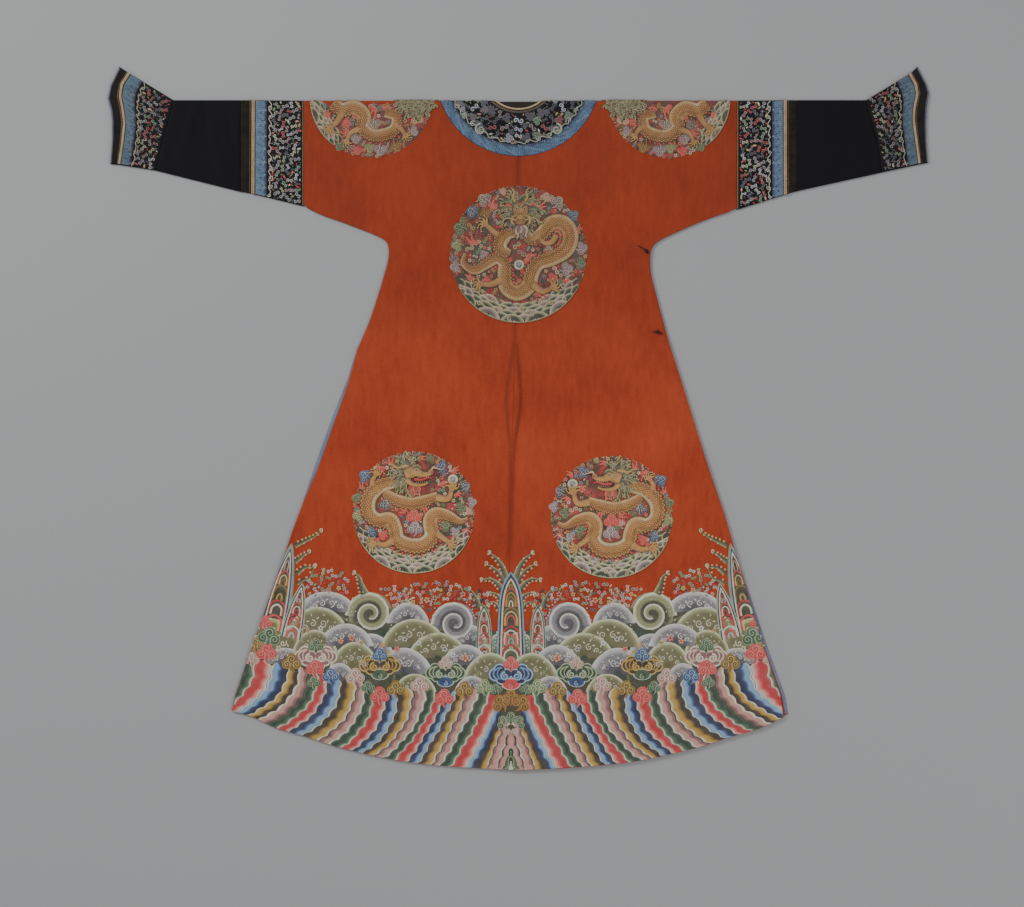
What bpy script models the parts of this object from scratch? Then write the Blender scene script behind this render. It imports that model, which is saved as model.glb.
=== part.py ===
"""Chinese eight-roundel dragon robe, laid flat with its back up.

Each half of the body is one length of silk that runs from the back hem over the shoulder to the
front hem. The wearer's left front carries an outer flap that reaches across to the right side,
where it is fastened, and the right front lies inside it as the underlap. Each sleeve is a chain
of flattened tubes: an embroidered band, a narrow brown strip, a plain length and a horseshoe cuff.

Metres. +X is the wearer's right, +Y runs from the hem to the shoulder fold, +Z is up, and the
robe rests on Z = 0. The origin is the centre of the robe's footprint.
"""

import math

import bmesh
import bpy
from mathutils import Vector

# Driving dimensions
ROBE_LENGTH = 1.425  # shoulder fold to the hem at the centre back
CUFF_PEAK = 0.072  # the point of a cuff above the shoulder fold
CLOTH = 0.0016  # silk with its lining
LAYER_GAP = 0.0013  # between two layers that lie on each other
SEAM = 0.0003  # between two pieces that are sewn together
TRIM = 0.0007  # facing and lining strips, which lie between two layers

HEM_Y = -(ROBE_LENGTH + CUFF_PEAK) / 2
SHOULDER_Y = HEM_Y + ROBE_LENGTH
LAYER = CLOTH + LAYER_GAP  # from one layer's face to the same face of the next
TWO_LAYERS = CLOTH + LAYER
FOLD_RADIUS = TWO_LAYERS / 2  # outside of the shoulder fold
FOLD_Y = SHOULDER_Y - FOLD_RADIUS  # where the shoulder fold starts to turn
FOLD_STEPS = 6

# The neck hole and the collar are rings about one centre, which lies on the front
NECK_FORWARD = 0.0565  # neck centre in front of the shoulder fold
NECK_RADIUS = 0.0788
COLLAR_RADIUS = 0.1759
BINDING_WIDTH = 0.0040
BINDING_GAP = 0.0013  # the collar and the binding cross the fold aslant, so they need more room
FACING_WIDTH = 0.0120  # of the neck facing, behind the collar
COLLAR_COLUMNS = (0.0, 0.33, 0.67, 1.0)
BACK_SHARES = (0.0, 0.15, 0.30, 0.45, 0.60, 0.75, 0.89)  # joints of a ring down the back
FRONT_SHARES = (0.10, 0.22, 0.35, 0.48, 0.61, 0.74, 0.87, 1.0)  # and down the front

# Half width of the body from the centre: the armhole's foot comes first, then the underarm seam
# and the side. The front shows past the back along both slits, where its lining is seen.
LEFT_EDGE = (
    # y, back, front
    (0.4516, 0.4569, 0.4569),
    (0.4335, 0.4207, 0.4195),
    (0.4186, 0.3781, 0.3768),
    (0.4015, 0.3333, 0.3320),
    (0.3887, 0.3014, 0.3000),
    (0.3791, 0.2838, 0.2822),
    (0.3696, 0.2778, 0.2760),
    (0.3546, 0.2758, 0.2740),
    (0.3333, 0.2782, 0.2762),
    (0.3057, 0.2860, 0.2840),
    (0.2737, 0.2953, 0.2933),
    (0.2098, 0.3163, 0.3143),
    (0.1459, 0.3425, 0.3440),
    (0.0820, 0.3605, 0.3640),
    (-0.0138, 0.3945, 0.4015),
    (-0.1097, 0.4290, 0.4356),
    (-0.2055, 0.4685, 0.4675),
    (-0.3014, 0.5022, 0.5002),
    (-0.3972, 0.5360, 0.5340),
    (-0.4931, 0.5700, 0.5680),
    (-0.5890, 0.6030, 0.6010),
)
RIGHT_EDGE = (
    # y, back, front
    (0.4441, 0.4646, 0.4646),
    (0.4335, 0.4292, 0.4280),
    (0.4186, 0.3887, 0.3873),
    (0.4015, 0.3483, 0.3470),
    (0.3887, 0.3206, 0.3192),
    (0.3791, 0.3014, 0.3000),
    (0.3696, 0.2885, 0.2868),
    (0.3546, 0.2815, 0.2795),
    (0.3333, 0.2800, 0.2780),
    (0.3057, 0.2825, 0.2805),
    (0.2737, 0.2903, 0.2883),
    (0.2098, 0.3072, 0.3052),
    (0.1459, 0.3250, 0.3230),
    (0.0820, 0.3458, 0.3438),
    (-0.0138, 0.3756, 0.3736),
    (-0.1097, 0.4060, 0.4040),
    (-0.2055, 0.4385, 0.4365),
    (-0.3014, 0.4665, 0.4670),
    (-0.3972, 0.4945, 0.4995),
    (-0.4931, 0.5240, 0.5315),
    (-0.5890, 0.5575, 0.5665),
)
EDGES = {"left": LEFT_EDGE, "right": RIGHT_EDGE}
SIGN = {"left": -1, "right": 1}
HEM_CORNER = {"left": (0.6102, 0.6082), "right": (0.5640, 0.5735)}  # half width: back, front
HEM_RISE = (
    # distance from the centre, rise of the hem above its lowest point
    (0.0000, 0.0000),
    (0.1280, 0.0064),
    (0.2500, 0.0192),
    (0.3800, 0.0480),
    (0.4500, 0.0705),
    (0.5150, 0.0895),
    (0.5700, 0.1150),
    (0.6110, 0.1255),
)
HEM_STEPS = (0.0, 0.33, 0.67)  # rows between the curved hem and the first straight one
FRONT_HEM_LIFT = 0.003  # the fronts stop short of the back hem
UNDERLAP_INSET = 0.006  # the underlap stops short of the flap's side edge
UNDERLAP_EDGE_X = 0.002

BACK_SEAM = (
    # y, x of the centre back seam, which drifts to the wearer's left as it lies
    (-0.7490, -0.0160),
    (-0.3014, -0.0190),
    (0.1570, -0.0075),
    (0.5500, 0.0000),
)
FLAP_TOP = (
    # x, y of the outer flap's upper edge, from the collar to the underarm
    (0.0000, 0.4430),
    (0.0500, 0.4370),
    (0.1100, 0.4230),
    (0.1700, 0.4010),
    (0.2250, 0.3750),
    (0.2780, 0.3333),
)
FLAP_CLEAR = 0.012  # the layers above stay raised this far past the flap's edge
FLAP_SLOPE = 0.045  # and come down over this distance
CENTRE_SLOPE = 0.080  # the back comes down over this distance from the centre to the left half

# Soft fold that stands up along the centre back seam
SEAM_FOLD = (
    # y, half width, height
    (-0.3300, 0.0060, 0.0000),
    (-0.1800, 0.0060, 0.0014),
    (-0.0610, 0.0070, 0.0024),
    (-0.0150, 0.0130, 0.0044),
    (0.0390, 0.0185, 0.0055),
    (0.0900, 0.0140, 0.0042),
    (0.1570, 0.0060, 0.0000),
)
FOLD_COLUMNS = (0.0, 0.002, 0.006, 0.0105, 0.0145, 0.0185, 0.027)  # distance from the inner edge
WIDE_COLUMNS = (0.22, 0.45, 0.68, 0.88, 1.0)  # share of what is left
BACK_EXTRA_ROWS = (0.025, 0.052, 0.490, 0.525)  # y
UNDERLAP_EXTRA_ROWS = (0.355, 0.378, 0.400, 0.415, 0.430, 0.460, 0.475)  # y, over the flap's edge
SIDE_SEAM_END = {"left": 0.165, "right": 0.165}  # y where the side slit starts
SEAM_PINCH = 0.0010  # the back's edge comes down to the front's along a closed seam

# Sleeves: each piece is a flattened tube between two joins. A join is a line of points across
# the sleeve, (distance from the robe's centre, y), from the lower edge up to the folded one.
SLEEVE_TOP_Y = SHOULDER_Y + 0.001
SLEEVE_JOINS = {
    "left": {
        "armhole": ((0.4572, 0.4516), (0.4572, 0.5640), (0.4572, SHOULDER_Y)),
        "strip": ((0.5700, 0.4790), (0.5695, 0.5770), (0.5690, SLEEVE_TOP_Y)),
        "plain": ((0.5911, 0.4822), (0.5911, 0.5790), (0.5911, SLEEVE_TOP_Y)),
        "cuff": ((0.7720, 0.5275), (0.7570, 0.5960), (0.7440, 0.6380), (0.7338, SLEEVE_TOP_Y)),
        "border": (
            (0.8516, 0.5402),
            (0.8445, 0.5868),
            (0.8403, 0.6294),
            (0.8435, 0.6550),
            (0.8499, 0.6880),
            (0.8460, 0.7120),
            (0.8300, 0.7365),
        ),
        "opening": (
            (0.8690, 0.5415),
            (0.8650, 0.5960),
            (0.8655, 0.6350),
            (0.8675, 0.6560),
            (0.8745, 0.6800),
            (0.8690, 0.7070),
            (0.8490, 0.7487),
        ),
    },
    "right": {
        "armhole": ((0.4649, 0.4441), (0.4649, 0.5600), (0.4649, SHOULDER_Y)),
        "strip": ((0.5725, 0.4780), (0.5722, 0.5770), (0.5720, SLEEVE_TOP_Y)),
        "plain": ((0.5932, 0.4838), (0.5932, 0.5790), (0.5932, SLEEVE_TOP_Y)),
        "cuff": ((0.7740, 0.5235), (0.7640, 0.5900), (0.7510, 0.6330), (0.7400, SLEEVE_TOP_Y)),
        "border": (
            (0.8552, 0.5412),
            (0.8475, 0.5970),
            (0.8425, 0.6330),
            (0.8435, 0.6580),
            (0.8505, 0.6930),
            (0.8470, 0.7120),
            (0.8345, 0.7350),
        ),
        "opening": (
            (0.8716, 0.5440),
            (0.8680, 0.5960),
            (0.8680, 0.6350),
            (0.8690, 0.6600),
            (0.8740, 0.6930),
            (0.8680, 0.7120),
            (0.8490, 0.7487),
        ),
    },
}
SLEEVE_PIECES = (
    # name, join it starts at, join it ends at, finish, rings
    ("sleeve_band_", "armhole", "strip", "band", 3),
    ("sleeve_strip_", "strip", "plain", "brown", 2),
    ("sleeve_", "plain", "cuff", "black_silk", 3),
    ("cuff_", "cuff", "border", "band", 4),
    ("cuff_border_", "border", "opening", "border", 2),
)
JOIN_GAP = 0.0005  # measured along the sleeve, because some joins cross it aslant
TUBE_TURN = 4  # steps round each folded edge of a tube

# Corded loops at the wearer's right side, on the back: they hold the flap's knots
LOOPS = (
    # name, x and y of the thin end, x and y of the end at the side edge
    ("loop_upper", (0.2560, 0.3735), (0.2745, 0.3545)),
    ("loop_lower", (0.2895, 0.1895), (0.3045, 0.1840)),
)
LOOP_RADIUS = (0.0012, 0.0022)  # thin end, end at the side edge

COLOURS = {
    "silk": (0.34, 0.055, 0.020),
    "black_silk": (0.009, 0.009, 0.013),
    "band": (0.060, 0.095, 0.150),
    "brown": (0.060, 0.040, 0.022),
    "border": (0.022, 0.024, 0.040),
    "gold_braid": (0.38, 0.22, 0.09),
    "facing": (0.016, 0.014, 0.013),
    "lining": (0.27, 0.42, 0.60),
    "cord": (0.030, 0.018, 0.010),
}


def table_value(table, at, column):
    """Smooth value of a column between the rows of a table, which run by their first column."""
    rows = sorted(table)
    if at <= rows[0][0]:
        return rows[0][column]
    if at >= rows[-1][0]:
        return rows[-1][column]
    after = next(i for i, row in enumerate(rows) if row[0] > at)
    low, high = rows[after - 1], rows[after]
    before, beyond = rows[max(after - 2, 0)], rows[min(after + 1, len(rows) - 1)]
    span = high[0] - low[0]
    start = (high[column] - before[column]) / (high[0] - before[0]) * span
    end = (beyond[column] - low[column]) / (beyond[0] - low[0]) * span
    t = (at - low[0]) / span
    return (
        (2 * t**3 - 3 * t**2 + 1) * low[column]
        + (t**3 - 2 * t**2 + t) * start
        + (3 * t**2 - 2 * t**3) * high[column]
        + (t**3 - t**2) * end
    )


def mix(a, b, t):
    return a + (b - a) * t


def smooth_step(t):
    t = min(max(t, 0.0), 1.0)
    return t * t * (3 - 2 * t)


def hem_y(x):
    return HEM_Y + table_value(HEM_RISE, abs(x), 1)


def lift(x, y):
    """How far the layers above the outer flap are raised by it."""
    flap_top = table_value(FLAP_TOP, x, 1) + FLAP_CLEAR
    over_flap = smooth_step((flap_top + FLAP_SLOPE - y) / FLAP_SLOPE)
    across = smooth_step((x + CENTRE_SLOPE) / CENTRE_SLOPE)
    return LAYER * over_flap * across


def seam_fold(x, y):
    """Height of the soft fold on the centre back seam."""
    half_width = table_value(SEAM_FOLD, y, 1)
    away = (x - table_value(BACK_SEAM, y, 1)) / half_width
    return max(table_value(SEAM_FOLD, y, 2), 0.0) * max(1 - away**4, 0.0)


def edge_pinch(side, x, y):
    """How far the back's edge comes down along the underarm and the side seam."""
    foot = EDGES[side][0][0]
    closed = SIDE_SEAM_END[side] < y < foot - SEAM
    at_edge = abs(x) > edge_x(side, y, 1) - SEAM
    return SEAM_PINCH if closed and at_edge else 0.0


def edge_x(side, y, column):
    return table_value(EDGES[side], y, column)


def back_top(side, x, y):
    """Height of the back's upper face."""
    return TWO_LAYERS + lift(x, y) + seam_fold(x, y) - edge_pinch(side, x, y)


def along_from_fold(y):
    """Length of cloth from the crest of the shoulder fold to a place at y."""
    return FOLD_Y - y + FOLD_RADIUS * math.pi / 2


def ring_half_width(radius, from_neck_centre):
    """Half width of a ring about the neck, at a distance from its centre along the body."""
    return math.sqrt(max(radius**2 - from_neck_centre**2, 0.0))


def columns(inner, outer):
    """Places across a row: close together beside the inner edge, then spread to the outer one."""
    way = 1 if outer > inner else -1
    near = [inner + way * step for step in FOLD_COLUMNS]
    return near + [mix(near[-1], outer, share) for share in WIDE_COLUMNS]


def back_inner(side, y):
    half = ring_half_width(COLLAR_RADIUS + SEAM, NECK_FORWARD + along_from_fold(y))
    if half > 0.01:
        return SIGN[side] * half
    return table_value(BACK_SEAM, y, 1) + SIGN[side] * SEAM / 2


def front_inner(side, y):
    half = ring_half_width(COLLAR_RADIUS + SEAM, NECK_FORWARD - along_from_fold(y))
    if half > 0.01:
        return SIGN[side] * half
    return -SEAM / 2 if side == "left" else UNDERLAP_EDGE_X


def ring_angles(radius):
    """Angles of the joints along one edge of a ring about the neck, from the middle of the back
    to the middle of the front: down the back, across the fold, and down the front."""
    half_turn = FOLD_RADIUS * math.pi / 2
    crossings = [
        math.acos((NECK_FORWARD + mix(half_turn, -half_turn, step / FOLD_STEPS)) / radius)
        for step in range(FOLD_STEPS + 1)
    ]
    back = [crossings[0] * share for share in BACK_SHARES]
    front = [mix(crossings[-1], math.pi, share) for share in FRONT_SHARES]
    return back, crossings, front


def back_row_places(side):
    """y of the back's straight rows, from the hem up. Those beside the collar meet its joints."""
    radius = COLLAR_RADIUS + SEAM
    half_turn = FOLD_RADIUS * math.pi / 2
    neck_y = FOLD_Y + NECK_FORWARD + half_turn
    beside_collar = [neck_y - radius * math.cos(angle) for angle in ring_angles(radius)[0]]
    places = [row[0] for row in EDGES[side]] + list(BACK_EXTRA_ROWS) + beside_collar
    return sorted(places) + [FOLD_Y]


def front_row_places(side):
    """y of the front's straight rows, from the shoulder down."""
    radius = COLLAR_RADIUS + SEAM
    half_turn = FOLD_RADIUS * math.pi / 2
    neck_y = FOLD_Y - NECK_FORWARD + half_turn
    beside_collar = [neck_y + radius * math.cos(angle) for angle in ring_angles(radius)[2]]
    places = [row[0] for row in EDGES[side][::2]] + beside_collar
    if side == "right":
        places += list(UNDERLAP_EXTRA_ROWS)
    return sorted(places, reverse=True)


def hem_rows(side, column, inner_of, hem_lift):
    """Rows between the curved hem and the lowest straight row, as lists of (x, y)."""
    first_y = EDGES[side][-1][0]
    corner = HEM_CORNER[side][column - 1]
    inner = inner_of(side, first_y)
    rows = []
    for t in HEM_STEPS:
        outer = SIGN[side] * mix(corner, EDGES[side][-1][column], t)
        row = columns(inner, outer)
        rows.append([(x, mix(hem_y(x) + hem_lift, first_y, t)) for x in row])
    return rows


def body_half_rows(side):
    """Rows of the outer face: up the back, round the shoulder fold and down the front."""
    sign = SIGN[side]

    def raised(x, y):
        return lift(x, y) if side == "right" else 0.0

    def inset(y):
        """The underlap stays inside the flap, so that only the flap's lining shows."""
        return UNDERLAP_INSET if side == "right" and y < EDGES[side][0][0] else 0.0

    rows = [
        [Vector((x, y, back_top(side, x, y))) for x, y in row]
        for row in hem_rows(side, 1, back_inner, 0.0)
    ]
    for y in back_row_places(side):
        xs = columns(back_inner(side, y), sign * edge_x(side, y, 1))
        rows.append([Vector((x, y, back_top(side, x, y))) for x in xs])
    for step in range(1, FOLD_STEPS + 1):
        angle = math.pi / 2 - math.pi * step / FOLD_STEPS
        half = ring_half_width(COLLAR_RADIUS + SEAM, NECK_FORWARD + FOLD_RADIUS * angle)
        y = FOLD_Y + FOLD_RADIUS * math.cos(angle)
        z = FOLD_RADIUS * (1 + math.sin(angle))
        xs = columns(sign * half, sign * EDGES[side][0][1])
        rows.append([Vector((x, y, z)) for x in xs])
    for y in front_row_places(side):
        xs = columns(front_inner(side, y), sign * (edge_x(side, y, 2) - inset(y)))
        rows.append([Vector((x, y, raised(x, y))) for x in xs])
    front_hem = hem_rows(side, 2, front_inner, FRONT_HEM_LIFT)
    for row in reversed(front_hem):
        shrink = 1 - inset(row[0][1]) / abs(row[-1][0])
        rows.append([Vector((x * shrink, y, raised(x, y))) for x, y in row])
    return rows


def material(name, colour, roughness):
    made = bpy.data.materials.new(name)
    made.use_nodes = True
    shader = made.node_tree.nodes["Principled BSDF"]
    shader.inputs["Base Color"].default_value = (*colour, 1.0)
    shader.inputs["Roughness"].default_value = roughness
    shader.inputs["Metallic"].default_value = 0.0
    return made


def place(mesh, name, finish):
    """Puts a mesh in the robe's collection with its material."""
    obj = bpy.data.objects.new(name, mesh)
    mesh.materials.append(MATERIALS[finish])
    ROBE.objects.link(obj)
    return obj


def cloth_from_rows(name, rows, finish, closed_rows=False, closed_ring=False):
    """A cloth wall under the outer face that the rows describe, with its faces turned outwards.

    closed_rows joins each row's last point to its first, and closed_ring the last row to the first.
    """
    mesh = bpy.data.meshes.new(name)
    bm = bmesh.new()
    points = [[bm.verts.new(point) for point in row] for row in rows]
    count = len(rows[0])
    for i in range(len(rows) if closed_ring else len(rows) - 1):
        here, after = points[i], points[(i + 1) % len(rows)]
        for j in range(count if closed_rows else count - 1):
            k = (j + 1) % count
            bm.faces.new((here[j], here[k], after[k], after[j]))
    bm.to_mesh(mesh)
    bm.free()
    obj = place(mesh, name, finish)
    wall = obj.modifiers.new("Wall", "SOLIDIFY")
    wall.thickness = CLOTH
    wall.offset = -1
    wall.use_even_offset = True
    mesh.shade_smooth()
    return obj


def flat_piece(name, outline, low_z, thickness, finish):
    """A flat piece of even thickness, cut to an outline of (x, y) points."""
    curve = bpy.data.curves.new(name, "CURVE")
    curve.dimensions = "2D"
    curve.fill_mode = "BOTH"
    curve.extrude = thickness / 2
    spline = curve.splines.new("POLY")
    spline.points.add(len(outline) - 1)
    for point, (x, y) in zip(spline.points, outline):
        point.co = (x, y, 0.0, 1.0)
    spline.use_cyclic_u = True
    curve.materials.append(MATERIALS[finish])
    obj = bpy.data.objects.new(name, curve)
    obj.location.z = low_z + thickness / 2
    ROBE.objects.link(obj)
    return obj


def make_body():
    for side in ("left", "right"):
        rows = body_half_rows(side)
        if side == "left":
            rows = [row[::-1] for row in rows]
        cloth_from_rows("body_" + side, rows, "silk")


def flap_side(y):
    return edge_x("right", y, 2)


def make_flap():
    """The outer flap carries on from the left front, across the centre seam to the right side."""
    side_ys = [row[0] for row in RIGHT_EDGE if row[0] < FLAP_TOP[-1][1] + 0.001]
    corner = HEM_CORNER["right"][1]
    hem_xs = [corner * share for share in (1.0, 0.93, 0.85, 0.75, 0.6, 0.45, 0.3, 0.15)]
    top_xs = [FLAP_TOP[-1][0] * share for share in (0.0, 0.15, 0.3, 0.45, 0.6, 0.75, 0.88)]
    outline = [(SEAM / 2, hem_y(0.0) + FRONT_HEM_LIFT)]
    outline += [(x, hem_y(x) + FRONT_HEM_LIFT) for x in reversed(hem_xs)]
    outline += [(flap_side(y), y) for y in reversed(side_ys)]
    outline += [(max(x, SEAM / 2), table_value(FLAP_TOP, x, 1)) for x in reversed(top_xs)]
    flat_piece("front_flap", outline, 0.0, CLOTH, "silk")


def neck_ring_rows(inner_radius, outer_radius, shares):
    """Rows across a ring about the neck. It lies on both sides of the shoulder fold and bends
    over it, and its rows run along the fold where they cross it."""
    outer_angles = sum(ring_angles(outer_radius), [])
    inner_angles = sum(ring_angles(inner_radius), [])
    pairs = list(zip(outer_angles, inner_angles))
    mirrored = [(-outer, -inner) for outer, inner in reversed(pairs[1:-1])]
    rows = []
    for outer, inner in pairs + mirrored:
        start = (inner_radius * math.sin(inner), inner_radius * math.cos(inner))
        end = (outer_radius * math.sin(outer), outer_radius * math.cos(outer))
        row = [(mix(start[0], end[0], t), mix(start[1], end[1], t)) for t in shares]
        rows.append([over_the_fold(x, d - NECK_FORWARD) for x, d in row])
    return rows


def over_the_fold(x, along):
    """Point of the outer face at a length of cloth from the fold's crest, positive on the back."""
    half_turn = FOLD_RADIUS * math.pi / 2
    if along > half_turn:
        return Vector((x, FOLD_Y - (along - half_turn), TWO_LAYERS))
    if along < -half_turn:
        return Vector((x, FOLD_Y + (along + half_turn), 0.0))
    angle = along / FOLD_RADIUS
    y = FOLD_Y + FOLD_RADIUS * math.cos(angle)
    return Vector((x, y, FOLD_RADIUS * (1 + math.sin(angle))))


def make_neck():
    """The collar, the binding round the neck hole, and the facing behind the back of the neck."""
    rows = neck_ring_rows(NECK_RADIUS, COLLAR_RADIUS, COLLAR_COLUMNS)
    cloth_from_rows("collar", rows, "band", closed_ring=True)
    outside = NECK_RADIUS - BINDING_GAP
    rows = neck_ring_rows(outside - BINDING_WIDTH, outside, (0.0, 1.0))
    cloth_from_rows("neck_binding", rows, "gold_braid", closed_ring=True)

    radius = NECK_RADIUS + FACING_WIDTH
    centre_y = FOLD_Y + NECK_FORWARD + FOLD_RADIUS * math.pi / 2
    half_angle = math.acos((centre_y - FOLD_Y) / radius)
    angles = [mix(-half_angle, half_angle, i / 16) for i in range(17)]
    arc = [(radius * math.sin(a), centre_y - radius * math.cos(a)) for a in angles]
    flat_piece("neck_facing", arc, CLOTH + SEAM, TRIM, "facing")


def resample(line, count):
    """The same line through another number of evenly spread points."""
    result = []
    for i in range(count):
        spot = i / (count - 1) * (len(line) - 1)
        first = min(int(spot), len(line) - 2)
        low, high = line[first], line[first + 1]
        result.append(tuple(mix(low[k], high[k], spot - first) for k in (0, 1)))
    return result


def towards(point, other, distance):
    """The place at a distance from a point, on the way to another."""
    share = distance / math.dist(point, other)
    return tuple(mix(point[k], other[k], share) for k in (0, 1))


def tube_ring(sign, line):
    """One ring of a flattened tube whose width is a line from its lower to its upper edge: up the
    under side, round the upper edge, back along the top and round the lower edge."""
    flats = list(line)
    flats[0] = towards(line[0], line[1], FOLD_RADIUS)
    flats[-1] = towards(line[-1], line[-2], FOLD_RADIUS)
    ring = [Vector((sign * x, y, 0.0)) for x, y in flats]
    for centre, way in ((flats[-1], 1), (flats[0], -1)):
        for step in range(1, TUBE_TURN):
            angle = math.pi * step / TUBE_TURN
            y = centre[1] + way * FOLD_RADIUS * math.sin(angle)
            z = FOLD_RADIUS * (1 - way * math.cos(angle))
            ring.append(Vector((sign * centre[0], y, z)))
        if way == 1:
            ring += [Vector((sign * x, y, TWO_LAYERS)) for x, y in reversed(flats)]
    return ring


def make_tube(name, side, near, far, rings, finish):
    """A flattened tube between two joins, half a gap clear of each."""
    count = max(len(near), len(far))
    pairs = list(zip(resample(near, count), resample(far, count)))
    rows = []
    for i in range(rings):
        line = []
        for a, b in pairs:
            gap = JOIN_GAP / 2 / math.dist(a, b)
            share = mix(gap, 1 - gap, i / (rings - 1))
            line.append(tuple(mix(a[k], b[k], share) for k in (0, 1)))
        rows.append(tube_ring(SIGN[side], line))
    if side == "left":
        rows = [row[::-1] for row in rows]
    cloth_from_rows(name, rows, finish, closed_rows=True)


def make_sleeves():
    for side, joins in SLEEVE_JOINS.items():
        for name, near, far, finish, rings in SLEEVE_PIECES:
            make_tube(name + side, side, joins[near], joins[far], rings, finish)


def make_lining(side, first_y, last_y):
    """The strip of lining that shows on the front's inner face along the slit."""
    steps = 10
    ys = [mix(first_y, last_y, i / steps) for i in range(steps + 1)]
    outer = [(SIGN[side] * (edge_x(side, y, 2) - 0.0008), y) for y in ys]
    inner = [(x - SIGN[side] * 0.024, y) for x, y in reversed(outer)]
    flat_piece("lining_" + side, outer + inner, CLOTH + SEAM, TRIM, "lining")


def make_loops():
    """Tapered cords that lie on the back beside the right side seam."""
    for name, start, end in LOOPS:
        curve = bpy.data.curves.new(name, "CURVE")
        curve.dimensions = "3D"
        curve.bevel_depth = 1.0
        curve.bevel_resolution = 2
        curve.use_fill_caps = True
        spline = curve.splines.new("POLY")
        shares = (0.0, 0.25, 0.5, 0.75, 1.0)
        spline.points.add(len(shares) - 1)
        for point, share in zip(spline.points, shares):
            radius = mix(*LOOP_RADIUS, share)
            x = mix(start[0], end[0], share)
            y = mix(start[1], end[1], share) + 0.002 * math.sin(math.pi * share)
            ground = back_top("right", x, y)
            point.co = (x, y, ground + SEAM + radius, 1.0)
            point.radius = radius
        curve.materials.append(MATERIALS["cord"])
        ROBE.objects.link(bpy.data.objects.new(name, curve))


for old in list(bpy.data.objects):
    bpy.data.objects.remove(old, do_unlink=True)
ROBE = bpy.data.collections.new("chinese_dragon_robe")
bpy.context.scene.collection.children.link(ROBE)
MATERIALS = {name: material(name, colour, 0.6) for name, colour in COLOURS.items()}

make_body()
make_flap()
make_neck()
make_sleeves()
make_lining("left", 0.150, -0.190)
make_lining("right", -0.310, -0.600)
make_loops()
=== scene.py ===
import math
import random
from bisect import bisect_right

import bpy
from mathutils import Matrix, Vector


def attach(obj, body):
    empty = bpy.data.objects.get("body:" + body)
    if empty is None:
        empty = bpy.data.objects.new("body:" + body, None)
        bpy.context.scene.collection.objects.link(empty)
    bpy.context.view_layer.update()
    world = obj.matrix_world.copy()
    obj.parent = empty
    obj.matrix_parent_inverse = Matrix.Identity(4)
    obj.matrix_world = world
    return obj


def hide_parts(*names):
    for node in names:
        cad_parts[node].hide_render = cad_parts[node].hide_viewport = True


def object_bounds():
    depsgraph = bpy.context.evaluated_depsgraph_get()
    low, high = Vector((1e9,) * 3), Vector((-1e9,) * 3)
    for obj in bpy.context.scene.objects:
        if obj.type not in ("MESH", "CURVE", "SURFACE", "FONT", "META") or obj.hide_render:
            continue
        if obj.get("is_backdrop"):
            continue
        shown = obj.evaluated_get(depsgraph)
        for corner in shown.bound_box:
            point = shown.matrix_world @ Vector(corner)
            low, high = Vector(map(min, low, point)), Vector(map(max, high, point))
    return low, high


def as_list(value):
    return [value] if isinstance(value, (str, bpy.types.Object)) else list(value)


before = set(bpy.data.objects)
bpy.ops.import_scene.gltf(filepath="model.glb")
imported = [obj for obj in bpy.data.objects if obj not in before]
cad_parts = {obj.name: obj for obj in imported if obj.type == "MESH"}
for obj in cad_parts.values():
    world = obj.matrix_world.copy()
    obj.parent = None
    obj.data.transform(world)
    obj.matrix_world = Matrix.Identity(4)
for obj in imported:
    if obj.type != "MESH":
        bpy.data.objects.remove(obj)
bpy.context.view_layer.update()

# The two silk halves. Each is one length of red silk twill with its lining, which runs from the
# back hem over the shoulder to the front hem. They meet in a seam down the middle of the back.
SIDES = ("left", "right")
SIGN = {"left": -1, "right": 1}
SHOULDER_Y = 0.6765
HEM_Y = -0.7485
CLOTH = 0.0016
SEAM = 0.0003
LAYER = 0.0029  # from one layer's face to the same face of the next
TWO_LAYERS = CLOTH + LAYER
FOLD_RADIUS = TWO_LAYERS / 2
FOLD_Y = SHOULDER_Y - FOLD_RADIUS
HALF_TURN = FOLD_RADIUS * math.pi / 2
NECK_FORWARD = 0.0565
NECK_RADIUS = 0.0788
COLLAR_RADIUS = 0.1759


def table(text):
    """A short table: its rows are parted by commas, its columns by spaces."""
    return [tuple(cell(word) for word in row.split()) for row in text.split(",")]


def cell(word):
    """A number, or a word as it stands."""
    try:
        return float(word)
    except ValueError:
        return word


def named_table(text):
    """A table whose first column names its rows."""
    return {name: rest for name, *rest in table(text)}


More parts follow.
